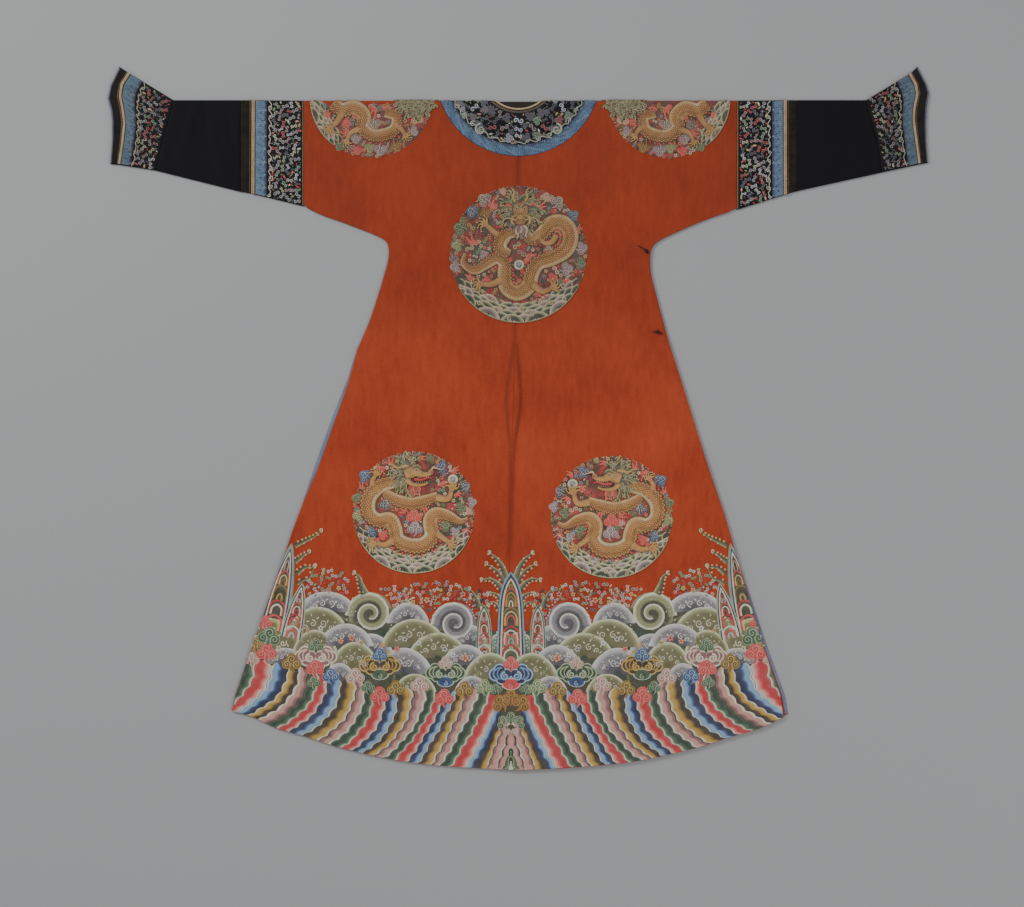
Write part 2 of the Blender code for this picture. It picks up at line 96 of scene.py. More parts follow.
EDGES = {
    # y, half width of the back, half width of the front
    "left": table("""
        -0.589 0.603 0.601, -0.4931 0.57 0.568, -0.3972 0.536 0.534, -0.3014 0.5022 0.5002,
        -0.2055 0.4685 0.4675, -0.1097 0.429 0.4356, -0.0138 0.3945 0.4015, 0.082 0.3605 0.364,
        0.1459 0.3425 0.344, 0.2098 0.3163 0.3143, 0.2737 0.2953 0.2933, 0.3057 0.286 0.284,
        0.3333 0.2782 0.2762, 0.3546 0.2758 0.274, 0.3696 0.2778 0.276, 0.3791 0.2838 0.2822,
        0.3887 0.3014 0.3, 0.4015 0.3333 0.332, 0.4186 0.3781 0.3768, 0.4335 0.4207 0.4195,
        0.4516 0.4569 0.4569
    """),
    "right": table("""
        -0.589 0.5575 0.5665, -0.4931 0.524 0.5315, -0.3972 0.4945 0.4995, -0.3014 0.4665 0.467,
        -0.2055 0.4385 0.4365, -0.1097 0.406 0.404, -0.0138 0.3756 0.3736, 0.082 0.3458 0.3438,
        0.1459 0.325 0.323, 0.2098 0.3072 0.3052, 0.2737 0.2903 0.2883, 0.3057 0.2825 0.2805,
        0.3333 0.28 0.278, 0.3546 0.2815 0.2795, 0.3696 0.2885 0.2868, 0.3791 0.3014 0.3,
        0.3887 0.3206 0.3192, 0.4015 0.3483 0.347, 0.4186 0.3887 0.3873, 0.4335 0.4292 0.428,
        0.4441 0.4646 0.4646
    """),
}
HEM_CORNER = {"left": (0.6102, 0.6082), "right": (0.5640, 0.5735)}
# distance from the centre, rise of the hem above its lowest point
HEM_RISE = table("""
    0.0 0.0, 0.128 0.0064, 0.25 0.0192, 0.38 0.048, 0.45 0.0705, 0.515 0.0895, 0.57 0.115, 0.611 0.1255
""")
FRONT_HEM_LIFT = 0.003
UNDERLAP_INSET = 0.006
UNDERLAP_EDGE_X = 0.002
# y, x of the centre back seam
BACK_SEAM = table("""
    -0.749 -0.016, -0.3014 -0.019, 0.157 -0.0075, 0.55 0.0
""")
# x, y of the outer flap's upper edge
FLAP_TOP = table("""
    0.0 0.443, 0.05 0.437, 0.11 0.423, 0.17 0.401, 0.225 0.375, 0.278 0.3333
""")
FLAP_CLEAR = 0.012
FLAP_SLOPE = 0.045
CENTRE_SLOPE = 0.080
# y, half width, height of the soft fold that stands on the seam
SEAM_FOLD = table("""
    -0.33 0.006 0.0, -0.18 0.006 0.0014, -0.061 0.007 0.0024, -0.015 0.013 0.0044, 0.039 0.0185 0.0055,
    0.09 0.014 0.0042, 0.157 0.006 0.0
""")
SEAM_PINCH = 0.0010
HEM_FOLD_END = -0.330
SIDE_SEAM_END = 0.165
# from x, y to x, y; half width; height, less than nothing for a trough
CREASES = table("""
    -0.262 0.338 -0.138 0.205 0.016 0.0014, -0.232 0.282 -0.15 0.16 0.013 -0.001,
    -0.443 0.59 -0.424 0.462 0.011 0.0017, -0.42 0.56 -0.404 0.47 0.009 -0.0012,
    -0.398 0.602 -0.35 0.43 0.014 0.0011, -0.3 0.52 -0.236 0.452 0.016 0.001,
    0.312 0.182 0.372 0.07 0.014 0.0016, 0.296 0.15 0.35 0.045 0.011 -0.001,
    0.446 0.585 0.424 0.458 0.012 0.0016, 0.418 0.548 0.4 0.452 0.01 -0.0011,
    0.3 0.5 0.222 0.44 0.016 0.001, 0.262 0.3 0.18 0.19 0.018 0.001, -0.07 0.15 -0.12 -0.03 0.018 0.0011,
    -0.04 0.06 -0.062 -0.11 0.01 -0.0012, 0.03 0.12 0.052 -0.08 0.012 -0.0011,
    0.062 0.17 0.11 -0.01 0.018 0.0012, -0.31 0.08 -0.352 -0.06 0.014 0.0011,
    -0.2 0.02 -0.262 -0.12 0.02 0.001, 0.19 0.04 0.242 -0.1 0.018 0.001,
    0.384 -0.04 0.41 -0.16 0.012 0.0012, -0.1 -0.12 -0.092 -0.32 0.014 0.001,
    0.052 -0.14 0.06 -0.3 0.012 0.0009
""")


def mix(a, b, t):
    return a + (b - a) * t


def clamp(value, low, high):
    return min(max(value, low), high)


def smooth_step(t):
    t = clamp(t, 0.0, 1.0)
    return t * t * (3 - 2 * t)


def table_value(rows, at, column=1):
    """Smooth value of a column between the rows of a table, which run up by their first column."""
    if not rows[0][0] < at < rows[-1][0]:
        return rows[0 if at <= rows[0][0] else -1][column]
    after = bisect_right(rows, at, key=lambda row: row[0])
    before, low = rows[max(after - 2, 0)], rows[after - 1]
    high, beyond = rows[after], rows[min(after + 1, len(rows) - 1)]
    span = high[0] - low[0]
    start = (high[column] - before[column]) / (high[0] - before[0]) * span
    end = (beyond[column] - low[column]) / (beyond[0] - low[0]) * span
    t = (at - low[0]) / span
    ends = (2 * t**3 - 3 * t**2 + 1) * low[column] + (3 * t**2 - 2 * t**3) * high[column]
    return ends + (t**3 - 2 * t**2 + t) * start + (t**3 - t**2) * end


def steps_between(start, end, step):
    count = max(1, round(abs(end - start) / step))
    return [mix(start, end, i / count) for i in range(count + 1)]


def hem_y(x):
    return HEM_Y + table_value(HEM_RISE, abs(x))


def seam_x(y):
    return table_value(BACK_SEAM, y)


def lift(x, y):
    """How far the back is raised by the outer flap below it."""
    over_flap = smooth_step((table_value(FLAP_TOP, x) + FLAP_CLEAR + FLAP_SLOPE - y) / FLAP_SLOPE)
    return LAYER * over_flap * smooth_step((x + CENTRE_SLOPE) / CENTRE_SLOPE)


def seam_fold(x, y):
    away = (x - seam_x(y)) / table_value(SEAM_FOLD, y)
    return max(table_value(SEAM_FOLD, y, 2), 0.0) * max(1 - away**4, 0.0)


def crease_height(x, y):
    total = 0.0
    for x0, y0, x1, y1, half_width, height in CREASES:
        dx, dy = x1 - x0, y1 - y0
        length = math.hypot(dx, dy)
        along = ((x - x0) * dx + (y - y0) * dy) / length**2
        if not 0.0 < along < 1.0:
            continue
        bend = 0.35 * half_width * math.sin(3.4 * along + 30 * x0)
        away = (((x - x0) * dy - (y - y0) * dx) / length + bend) / half_width
        if abs(away) < 1.0:
            total += height * (1 - away**2) ** 2 * (4 * along * (1 - along)) ** 0.8
    return total


def silk_side(side, y, column=0):
    """Half width of the silk at a height, down to the corner of the hem."""
    corner = HEM_CORNER[side][column]
    corner_y = hem_y(corner)
    first = EDGES[side][0]
    if y < first[0]:
        return mix(corner, first[column + 1], clamp((y - corner_y) / (first[0] - corner_y), 0, 1))
    return table_value(EDGES[side], y, column + 1)


def silk_top(x, y):
    """Height of the silk's upper face on the back."""
    return TWO_LAYERS + lift(x, y) + seam_fold(x, y) + crease_height(x, y)


def ring_half_width(radius, from_neck_centre):
    return math.sqrt(max(radius**2 - from_neck_centre**2, 0.0))


SEAM_COLUMNS = [0, 0.001, 0.002, 0.004, 0.006, 0.008, 0.0105, 0.0125, 0.0145, 0.0165, 0.0185, 0.022]
SIDE_COLUMNS = [share / 57 for share in range(1, 57)] + [0.996, 1.0]
SILK_STEP = 0.0094
FRONT_STEP = 0.060
FOLD_STEPS = 8
COLLAR_FOOT = FOLD_Y + HALF_TURN + NECK_FORWARD - COLLAR_RADIUS - SEAM
COLLAR_ROWS = [COLLAR_FOOT + step for step in (-0.0001, 0.0004, 0.0015, 0.0035, 0.0060)]


def silk_inner(side, y, along, back):
    """The edge of a half beside the collar or, past the collar, in the middle."""
    half = ring_half_width(COLLAR_RADIUS + SEAM, NECK_FORWARD + (along if back else -along))
    if half > 0.01:
        return SIGN[side] * half
    if back:
        return seam_x(y) + SIGN[side] * SEAM / 2
    return -SEAM / 2 if side == "left" else UNDERLAP_EDGE_X


def silk_rows(side):
    """Rows of the outer face: up the back, round the shoulder fold and down the front."""
    sign = SIGN[side]
    first, top = EDGES[side][0], EDGES[side][-1]
    corner = HEM_CORNER[side]
    inset = UNDERLAP_INSET if side == "right" else 0.0
    rows = []

    def columns(inner, half_width):
        """Places across, close together beside the seam, from the inner edge to the outer one."""
        outer = sign * half_width
        way = 1 if outer > inner else -1
        near = [inner + way * step for step in SEAM_COLUMNS]
        return near + [mix(near[-1], outer, share) for share in SIDE_COLUMNS]

    def front_row(xs, ys):
        rows.append([Vector((x, y, lift(x, y) if side == "right" else 0.0)) for x, y in zip(xs, ys)])

    for t in steps_between(0.0, 1.0, 0.04)[:-1]:
        xs = columns(silk_inner(side, first[0], 1.0, True), mix(corner[0], first[1], t))
        row = [(x, mix(hem_y(x), first[0], t)) for x in xs]
        rows.append([Vector((x, y, silk_top(x, y))) for x, y in row])
    for y in sorted(steps_between(first[0], FOLD_Y, SILK_STEP) + COLLAR_ROWS):
        closed = SIDE_SEAM_END < y < top[0] - SEAM
        xs = columns(silk_inner(side, y, FOLD_Y - y + HALF_TURN, True), silk_side(side, y))
        pinches = [SEAM_PINCH if closed and abs(x - xs[-1]) < SEAM else 0.0 for x in xs]
        rows.append([Vector((x, y, silk_top(x, y) - pinch)) for x, pinch in zip(xs, pinches)])
    for step in range(1, FOLD_STEPS + 1):
        angle = math.pi / 2 - math.pi * step / FOLD_STEPS
        half = ring_half_width(COLLAR_RADIUS + SEAM, NECK_FORWARD + FOLD_RADIUS * angle)
        y, z = FOLD_Y + FOLD_RADIUS * math.cos(angle), FOLD_RADIUS * (1 + math.sin(angle))
        rows.append([Vector((x, y, z)) for x in columns(sign * half, top[1])])
    for y in steps_between(FOLD_Y, 0.33, 0.012)[1:] + steps_between(0.33, first[0], FRONT_STEP)[1:]:
        half_width = silk_side(side, y, 1) - (inset if y < top[0] else 0.0)
        xs = columns(silk_inner(side, y, FOLD_Y - y + HALF_TURN, False), half_width)
        front_row(xs, [y] * len(xs))
    for t in (0.67, 0.33, 0.0):
        xs = columns(silk_inner(side, first[0], 1.0, False), mix(corner[1], first[2], t) - inset)
        front_row(xs, [mix(hem_y(x) + FRONT_HEM_LIFT, first[0], t) for x in xs])
    return rows


def linear(red, green, blue):
    """A dye's colour as the shader takes it, from its everyday 0 to 255 numbers."""
    return tuple(
        (c / 255 / 12.92) if c <= 10 else ((c / 255 + 0.055) / 1.055) ** 2.4
        for c in (red, green, blue)
    )


def feed(tree, end, value):
    """Sets a socket to a plain value, or links it to another node's output."""
    if isinstance(value, bpy.types.NodeSocket):
        tree.links.new(value, end)
    else:
        end.default_value = (*value, 1.0) if end.type == "RGBA" else value


def node_in(tree, kind, inputs={}, **settings):
    """A node of a tree, with its settings and what feeds its inputs."""
    node = tree.nodes.new(kind)
    for name, value in settings.items():
        setattr(node, name, value)
    for slot, value in inputs.items():
        feed(tree, node.inputs[slot], value)
    return node


def node_group(name, kind, inputs, outputs):
    """A tree with named sockets, each given by its kind and its default, and what they feed."""
    group = bpy.data.node_groups.new(name, kind)
    for way, sockets in (("INPUT", inputs), ("OUTPUT", outputs)):
        for label, (sort, default) in sockets.items():
            made = group.interface.new_socket(name=label, in_out=way, socket_type="NodeSocket" + sort)
            if default is not None:
                made.default_value = default
    return group, group.nodes.new("NodeGroupInput").outputs, group.nodes.new("NodeGroupOutput").inputs


def maths(tree, operation, *values):
    return node_in(tree, "ShaderNodeMath", dict(enumerate(values)), operation=operation).outputs[0]


def summed(tree, total, *parts):
    """A sum of values, each times its share."""
    for value, share in parts:
        total = maths(tree, "MULTIPLY_ADD", value, share, total)
    return total


def noise(tree, vector, scale, detail=2.0):
    inputs = {"Vector": vector, "Scale": scale, "Detail": detail}
    return node_in(tree, "ShaderNodeTexNoise", inputs).outputs["Fac"]


def blend_colours(tree, factor, first, second, mode="MIX"):
    inputs = {"Factor": factor, "A": first, "B": second}
    return node_in(tree, "ShaderNodeMix", inputs, data_type="RGBA", blend_type=mode).outputs["Result"]


RAISED_AND_SHADED = {"Height": ("Float", None), "Shade": ("Float", None)}


def make_weave_group():
    """Twill or plain weave in the cloth's own plane: height of the threads and their shade."""
    inputs = {"Vector": ("Vector", None), "Thread": ("Float", 0.0007)}
    inputs.update(Slant=("Float", 1.0), Uneven=("Float", 0.3))
    group, start, end = node_group("weave", "ShaderNodeTree", inputs, RAISED_AND_SHADED)
    x, y, _ = node_in(group, "ShaderNodeSeparateXYZ", {0: start["Vector"]}).outputs
    turns = maths(group, "DIVIDE", 2 * math.pi, start["Thread"])
    slanted = maths(group, "MULTIPLY_ADD", y, start["Slant"], x)
    rib = maths(group, "SINE", maths(group, "MULTIPLY", slanted, turns))
    weft = maths(group, "SINE", maths(group, "MULTIPLY", y, turns))
    slub = noise(group, start["Vector"], 260.0, 3.0)
    rough = maths(group, "SUBTRACT", slub, 0.5)
    feed(group, end["Height"], summed(group, 0.5, (rib, 0.35), (weft, 0.15), (rough, start["Uneven"])))
    feed(group, end["Shade"], slub)
    return group


WEAVE = make_weave_group()


def new_material(name):
    """A material, its tree and its Object coordinates."""
    made = bpy.data.materials.new(name)
    made.use_nodes = True
    return made, made.node_tree, node_in(made.node_tree, "ShaderNodeTexCoord").outputs["Object"]


def finish(tree, colour, height, bump, distance, plain):
    """Feeds a material's shader with its colour, its raised threads and its plain values."""
    relief = {"Strength": bump, "Distance": distance, "Height": height}
    raised = node_in(tree, "ShaderNodeBump", relief).outputs[0]
    for slot, value in {"Base Color": colour, "Normal": raised, **plain}.items():
        feed(tree, tree.nodes["Principled BSDF"].inputs[slot], value)


def cloth_material(name, dark, light, rough, thread, slant=1.0, sheen=0.3, patch=7.0, bump=0.35, deep=None):
    """Cloth whose colour drifts between two shades, and to a deep colour, which is painted shade, where its
    shade mask says so.
    """
    made, tree, place = new_material(name)
    inputs = {"Vector": place, "Thread": thread, "Slant": slant}
    weave = node_in(tree, "ShaderNodeGroup", inputs, node_tree=WEAVE)
    stretch = node_in(tree, "ShaderNodeMapping", {"Scale": (1.0, 0.28, 1.0), "Vector": place})
    patches, streaks = noise(tree, place, patch, 4.0), noise(tree, stretch.outputs[0], 95.0, 3.0)
    drift = summed(tree, -0.75, (patches, 1.3), (streaks, 0.7), (weave.outputs["Shade"], 0.5))
    colour = blend_colours(tree, drift, linear(*dark), linear(*light))
    # Painted shade: the points' shade mask darkens the cloth towards its deep colour.
    if deep:
        painted_shade_mask = node_in(tree, "ShaderNodeAttribute", attribute_name="shade")
        colour = blend_colours(tree, painted_shade_mask.outputs["Fac"], colour, linear(*deep))
    plain = {"Roughness": rough, "Sheen Weight": sheen, "Sheen Roughness": 0.45, "Specular IOR Level": 0.18}
    finish(tree, colour, weave.outputs["Height"], bump, 0.0004, plain)
    return made


def finished(name, mesh, material, smooth=True):
    """A piece at the origin, with its material."""
    piece = bpy.data.objects.new(name, mesh)
    bpy.context.scene.collection.objects.link(piece)
    mesh.materials.clear()
    mesh.materials.append(material)
    if smooth:
        mesh.shade_smooth()
    return piece


def plain_mesh(piece):
    """Settles a piece's modifiers into its mesh."""
    graph = bpy.context.evaluated_depsgraph_get()
    mesh = bpy.data.meshes.new_from_object(piece.evaluated_get(graph), depsgraph=graph)
    piece.modifiers.clear()
    old = piece.data
    piece.data = mesh
    bpy.data.meshes.remove(old)


def lay_out_flat(piece):
    """A map for the finish: upper and under faces of each layer side by side, as cut out."""
    mesh = piece.data
    places = [v.co for v in mesh.vertices]
    low = [min(p[k] for p in places) for k in range(3)]
    high = [max(p[k] for p in places) for k in range(3)]
    middle = (low[2] + high[2]) / 2
    scale = 0.5 / (max(high[0] - low[0], high[1] - low[1]) + 0.02)
    uv = mesh.uv_layers.new(name="OFBake").uv
    for face in mesh.polygons:
        across = 0.5 if face.normal.z < 0 else 0.0
        up = 0.5 if face.center.z < middle else 0.0
        for loop in face.loop_indices:
            x, y, z = mesh.vertices[mesh.loops[loop].vertex_index].co
            spread = 0.8 * (z - middle) + 0.01
            uv[loop].vector = (across + (x - low[0] + spread) * scale, up + (y - low[1] + spread) * scale)


def cloth_wall(name, rows, material, ring=False, tube=False, turned=False, thickness=CLOTH):
    """A cloth wall under the outer face that its rows describe, whose ends meet in a ring or tube."""
    if turned:
        rows = [row[::-1] for row in rows]
    count = len(rows[0])
    faces = []
    for i in range(len(rows) if ring else len(rows) - 1):
        a, b = i * count, (i + 1) % len(rows) * count
        for j in range(count if tube else count - 1):
            k = (j + 1) % count
            faces.append((a + j, a + k, b + k, b + j))
    mesh = bpy.data.meshes.new(name)
    mesh.from_pydata([point for row in rows for point in row], [], faces)
    piece = finished(name, mesh, material)
    wall = piece.modifiers.new("wall", "SOLIDIFY")
    wall.thickness = thickness
    wall.offset = -1
    wall.use_even_offset = True
    plain_mesh(piece)
    if thickness == CLOTH:
        piece.data.shade_smooth()
    else:
        piece.data.shade_flat()
    lay_out_flat(piece)
    return piece


def write_values(mesh, name, kind, values):
    """Gives every point of a mesh a value under a name."""
    slot = {"FLOAT": "value", "FLOAT_COLOR": "color", "FLOAT_VECTOR": "vector"}[kind]
    mesh.attributes.new(name, kind, "POINT").data.foreach_set(slot, values)


# The red silk's last colour is its painted shade, laid on by the shade mask.
red_silk = cloth_material(
    "red silk", (140, 46, 24), (186, 74, 42), 0.6, 0.0009, 1.0, 0.08, 5.0, 0.4, (94, 37, 17)
)
# How strongly painted shade darkens the silk higher up, and at the foot of the seam fold.
UPPER_SHADE = 0.74
FOLD_SHADE = 0.42


def silk_painted_shade(x, y):
    """Painted shade on the silk: a painted shadow at the foot of the seam fold, and painted shade that grows
    the higher up.
    """
    shade, line = UPPER_SHADE * clamp(y, 0.0, 0.5), 0.0
    half = table_value(SEAM_FOLD, clamp(y, SEAM_FOLD[0][0], SEAM_FOLD[-1][0]), 1)
    fade = smooth_step((y - HEM_FOLD_END) / 0.08)
    for way in (-1, 1):
        away = abs(x - seam_x(y) - way * (half - 0.0030)) / 0.0058
        line = max(line, 1 - away**2)
    return shade + FOLD_SHADE * fade * (0.45 if y > SEAM_FOLD[-1][0] else 1.0) * line


silk = {}
for side in SIDES:
    silk[side] = cloth_wall("silk_" + side, silk_rows(side), red_silk, turned=side == "left")
    places = [v.co for v in silk[side].data.vertices]
    # each point's painted shade, which the red silk's material reads
    write_values(silk[side].data, "shade", "FLOAT", [silk_painted_shade(p.x, p.y) for p in places])

# The outer flap. The wearer's left front carries on across the middle to the right side, where it
# lies between the back and the underlap. Its edge shows past the back along the right slit.
FLAP_REACH = [(y, x) for x, y in reversed(FLAP_TOP[1:])] + [(0.4425, 0.006)]
FLAP_COLUMNS = 28


def flap_row(outer, y_at):
    xs = [mix(SEAM / 2, outer, i / (FLAP_COLUMNS - 1)) for i in range(FLAP_COLUMNS)]
    return [Vector((x, y_at(x), CLOTH)) for x in xs]


first = EDGES["right"][0]
flap_rows = []
for t in (0.0, 0.33, 0.67):
    outer = mix(HEM_CORNER["right"][1], first[2], t)
    flap_rows.append(flap_row(outer, lambda x: mix(hem_y(x) + FRONT_HEM_LIFT, first[0], t)))
for y in steps_between(first[0], FLAP_REACH[-1][0], 0.02):
    outer = table_value(FLAP_REACH, y) if y > FLAP_REACH[0][0] else silk_side("right", y, 1)
    flap_rows.append(flap_row(outer, lambda x: y))
flap = cloth_wall("outer_flap", flap_rows, red_silk)

# The collar, the cord round the neck hole and the dark facing behind it. The collar is a ring of
# dark satin, worked with a wave band, that is cut round the neck and bends over the shoulders.
RING_SHARES = [i / 36 for i in range(36)]
BINDING_WIDTH = 0.0040
BINDING_GAP = 0.0013
FACING_WIDTH = 0.0120
TRIM = 0.0007
TRIM_TOP = 0.0026
COLLAR_Y = FOLD_Y + NECK_FORWARD + HALF_TURN


def over_the_fold(x, along, rise=0.0):
    """Point above the outer face at a length of cloth from the fold's crest, more on the back."""
    if along > HALF_TURN:
        return Vector((x, FOLD_Y - (along - HALF_TURN), TWO_LAYERS + rise))
    if along < -HALF_TURN:
        return Vector((x, FOLD_Y + (along + HALF_TURN), -rise))
    angle = along / FOLD_RADIUS
    reach = FOLD_RADIUS + rise
    return Vector((x, FOLD_Y + reach * math.cos(angle), FOLD_RADIUS + reach * math.sin(angle)))


def ring_angles(radius):
    """Angles of the joints of a ring: down the back, across the fold and down the front."""
    crossings = [
        math.acos((NECK_FORWARD + mix(HALF_TURN, -HALF_TURN, step / FOLD_STEPS)) / radius)
        for step in range(FOLD_STEPS + 1)
    ]
    back = [crossings[0] * share for share in RING_SHARES]
    front = [mix(crossings[-1], math.pi, 1 - share) for share in reversed(RING_SHARES)]
    return back + crossings + front


def neck_ring_rows(inner_radius, outer_radius, columns, bulge=0.0):
    pairs = list(zip(ring_angles(outer_radius), ring_angles(inner_radius)))
    mirrored = [(-outer, -inner) for outer, inner in reversed(pairs[1:-1])]
    rows = []
    for outer, inner in pairs + mirrored:
        row = []
        for i in range(columns + 1):
            t = i / columns
            x = mix(inner_radius * math.sin(inner), outer_radius * math.sin(outer), t)
            ahead = mix(inner_radius * math.cos(inner), outer_radius * math.cos(outer), t)
            row.append(over_the_fold(x, ahead - NECK_FORWARD, bulge * math.sin(math.pi * t)))
        rows.append(row)
    return rows


dark_satin = cloth_material("dark satin", (12, 12, 16), (24, 22, 26), 0.6, 0.0006, 0.6, 0.03, 14.0)
facing_satin = cloth_material("facing satin", (28, 24, 22), (48, 40, 36), 0.6, 0.0006, 0.6, 0.2, 14.0)
gold_braid = cloth_material("gold braid", (172, 140, 100), (214, 186, 148), 0.5, 0.0012, 1.8, 0.05, 40.0, 0.8)
collar = cloth_wall("collar_ring", neck_ring_rows(NECK_RADIUS, COLLAR_RADIUS, 18), dark_satin, ring=True)
outside = NECK_RADIUS - BINDING_GAP
cord_rows = neck_ring_rows(outside - BINDING_WIDTH, outside, 4, 0.0008)
neck_cord = cloth_wall("neck_cord", cord_rows, gold_braid, ring=True)
facing_radius = NECK_RADIUS + FACING_WIDTH
half_angle = math.acos((COLLAR_Y - FOLD_Y) / facing_radius)
facing_rows = []
for t in steps_between(0.0, 1.0, 0.125):
    row = []
    for angle in steps_between(-half_angle, half_angle, half_angle / 20):
        low = COLLAR_Y - facing_radius * math.cos(angle)
        row.append(Vector((facing_radius * math.sin(angle), mix(low, FOLD_Y, t), TRIM_TOP)))
    facing_rows.append(row)
facing = cloth_wall("neck_facing_strip", facing_rows, facing_satin, thickness=TRIM)

# The sleeves. Each is a chain of flattened tubes from the shoulder out: an embroidered band, a
# narrow brown strip with a corded edge, a plain black length and a horseshoe cuff with its border.
SLEEVE_JOINS = {
    # places of each join from its lower to its upper end, as x and y
    "left": {
        "armhole": table("0.4572 0.4516, 0.4572 0.564, 0.4572 0.6765"),
        "strip": table("0.57 0.479, 0.5695 0.577, 0.569 0.6775"),
        "plain": table("0.5911 0.4822, 0.5911 0.579, 0.5911 0.6775"),
        "cuff": table("0.772 0.5275, 0.757 0.596, 0.744 0.638, 0.7338 0.6775"),
        "border": table("""
            0.8516 0.5402, 0.8445 0.5868, 0.8403 0.6294, 0.8435 0.655, 0.8499 0.688, 0.846 0.712, 0.83 0.7365
        """),
        "opening": table("""
            0.869 0.5415, 0.865 0.596, 0.8655 0.635, 0.8675 0.656, 0.8745 0.68, 0.869 0.707, 0.849 0.7487
        """),
    },
    "right": {
        "armhole": table("0.4649 0.4441, 0.4649 0.56, 0.4649 0.6765"),
        "strip": table("0.5725 0.478, 0.5722 0.577, 0.572 0.6775"),
        "plain": table("0.5932 0.4838, 0.5932 0.579, 0.5932 0.6775"),
        "cuff": table("0.774 0.5235, 0.764 0.59, 0.751 0.633, 0.74 0.6775"),
        "border": table("""
            0.8552 0.5412, 0.8475 0.597, 0.8425 0.633, 0.8435 0.658, 0.8505 0.693, 0.847 0.712, 0.8345 0.735
        """),
        "opening": table("""
            0.8716 0.544, 0.868 0.596, 0.868 0.635, 0.869 0.66, 0.874 0.693, 0.868 0.712, 0.849 0.7487
        """),
    },
}
JOIN_GAP = 0.0005
TUBE_TURN = 6
TUBE_ACROSS = 34
TUBE_STEP = 0.005


def between(a, b, t):
    """The place at a share of the way from one place to another."""
    return mix(a[0], b[0], t), mix(a[1], b[1], t)


def spot_on_line(line, t):
    """A place at a share of a line's points, which is how the solids spread a join."""
    place = clamp(t, 0.0, 1.0) * (len(line) - 1)
    first = min(int(place), len(line) - 2)
    return between(line[first], line[first + 1], place - first)


def sleeve_place(side, near, far, s, t):
    """Place on a sleeve piece: s from its near to its far join, t from its lower to its upper edge."""
    a, b = [spot_on_line(SLEEVE_JOINS[side][join], t) for join in (near, far)]
    gap = JOIN_GAP / 2 / math.dist(a, b)
    return between(a, b, mix(gap, 1 - gap, s))


def tube_ring(sign, line, rise):
    """One ring of a flattened tube: up the under side, round the edge and back along the top."""
    flats = list(line)
    for end, beside in ((0, 1), (-1, -2)):
        flats[end] = between(line[end], line[beside], FOLD_RADIUS / math.dist(line[end], line[beside]))
    ring = [Vector((sign * x, y, 0.0)) for x, y in flats]
    for (x, middle), way in ((flats[-1], 1), (flats[0], -1)):
        for step in range(1, TUBE_TURN):
            angle = math.pi * step / TUBE_TURN
            y = middle + way * FOLD_RADIUS * math.sin(angle)
            ring.append(Vector((sign * x, y, FOLD_RADIUS * (1 - way * math.cos(angle)))))
        if way == 1:
            for i, (x, y) in reversed(list(enumerate(flats))):
                ring.append(Vector((sign * x, y, TWO_LAYERS + rise[i])))
    return ring


# distance from the centre and y of a soft fold's middle, its slant, half width, length, height
SLEEVE_FOLDS = table("""
    0.64 0.56 0.3 0.016 0.06 0.0012, 0.7 0.62 -0.25 0.014 0.05 0.001, 0.668 0.64 0.1 0.01 0.04 -0.0009,
    0.72 0.56 0.45 0.013 0.045 0.0011, 0.615 0.62 0.15 0.01 0.045 -0.0008,
    0.515 0.56 0.1 0.015 0.07 0.0007, 0.8 0.61 -0.2 0.015 0.06 0.0007
""")


def sleeve_rise(x, y):
    """Soft folds in a sleeve's upper face."""
    total = 0.0
    for fold_x, fold_y, slant, half_width, length, height in SLEEVE_FOLDS:
        along = (y - fold_y) / length
        away = (abs(x) - fold_x - slant * (y - fold_y)) / half_width
        if abs(along) < 1 and abs(away) < 1:
            total += height * (1 - along**2) * (1 - away**2) ** 2
    return total


def sleeve_tube(name, side, near, far, material):
    ends = [SLEEVE_JOINS[side][join] for join in (near, far)]
    finest = max(len(end) for end in ends) - 1
    across = finest * max(1, round(TUBE_ACROSS / finest))
    length = math.dist(*[spot_on_line(end, 0.5) for end in ends])
    rows = []
    for s in steps_between(0.0, 1.0, TUBE_STEP / length):
        line = [sleeve_place(side, near, far, s, i / across) for i in range(across + 1)]
        fade = [min(1.0, 12 * s, 12 * (1 - s), i, across - i) for i in range(across + 1)]
        rows.append(tube_ring(SIGN[side], line, [sleeve_rise(*place) * f for place, f in zip(line, fade)]))
    return cloth_wall(name, rows, material, tube=True, turned=side == "left")


black_silk = cloth_material("black silk", (6, 5, 8), (12, 9, 15), 0.6, 0.0008, 1.0, 0.03, 9.0, 0.4)
brown_brocade = cloth_material("brown brocade", (10, 8, 6), (46, 38, 25), 0.6, 0.0016, 2.2, 0.03, 60.0, 0.7)
cuff_binding = cloth_material("cuff binding", (16, 14, 14), (40, 34, 26), 0.6, 0.0012, 1.6, 0.03, 30.0, 0.6)
SLEEVE_PIECES = {
    # piece: node, joins at its ends, cloth, its finish, width of its cut round the tube, length
    "embroidered_band": ("sleeve_band_", "armhole", "strip", dark_satin, "embroidered_satin", 0.440, 0.114),
    "brown_strip": ("sleeve_strip_", "strip", "plain", brown_brocade, "brown_brocade", 0.400, 0.022),
    "black_sleeve": ("sleeve_", "plain", "cuff", black_silk, "black_silk", 0.390, 0.172),
    "horseshoe_cuff": ("cuff_", "cuff", "border", dark_satin, "embroidered_satin", 0.390, 0.130),
    "cuff_edge": ("cuff_border_", "border", "opening", cuff_binding, "cuff_binding", 0.420, 0.026),
}
sleeves = {}
for side in SIDES:
    for piece, (_, near, far, cloth, *_) in SLEEVE_PIECES.items():
        sleeves[piece, side] = sleeve_tube(f"{piece}_{side}", side, near, far, cloth)

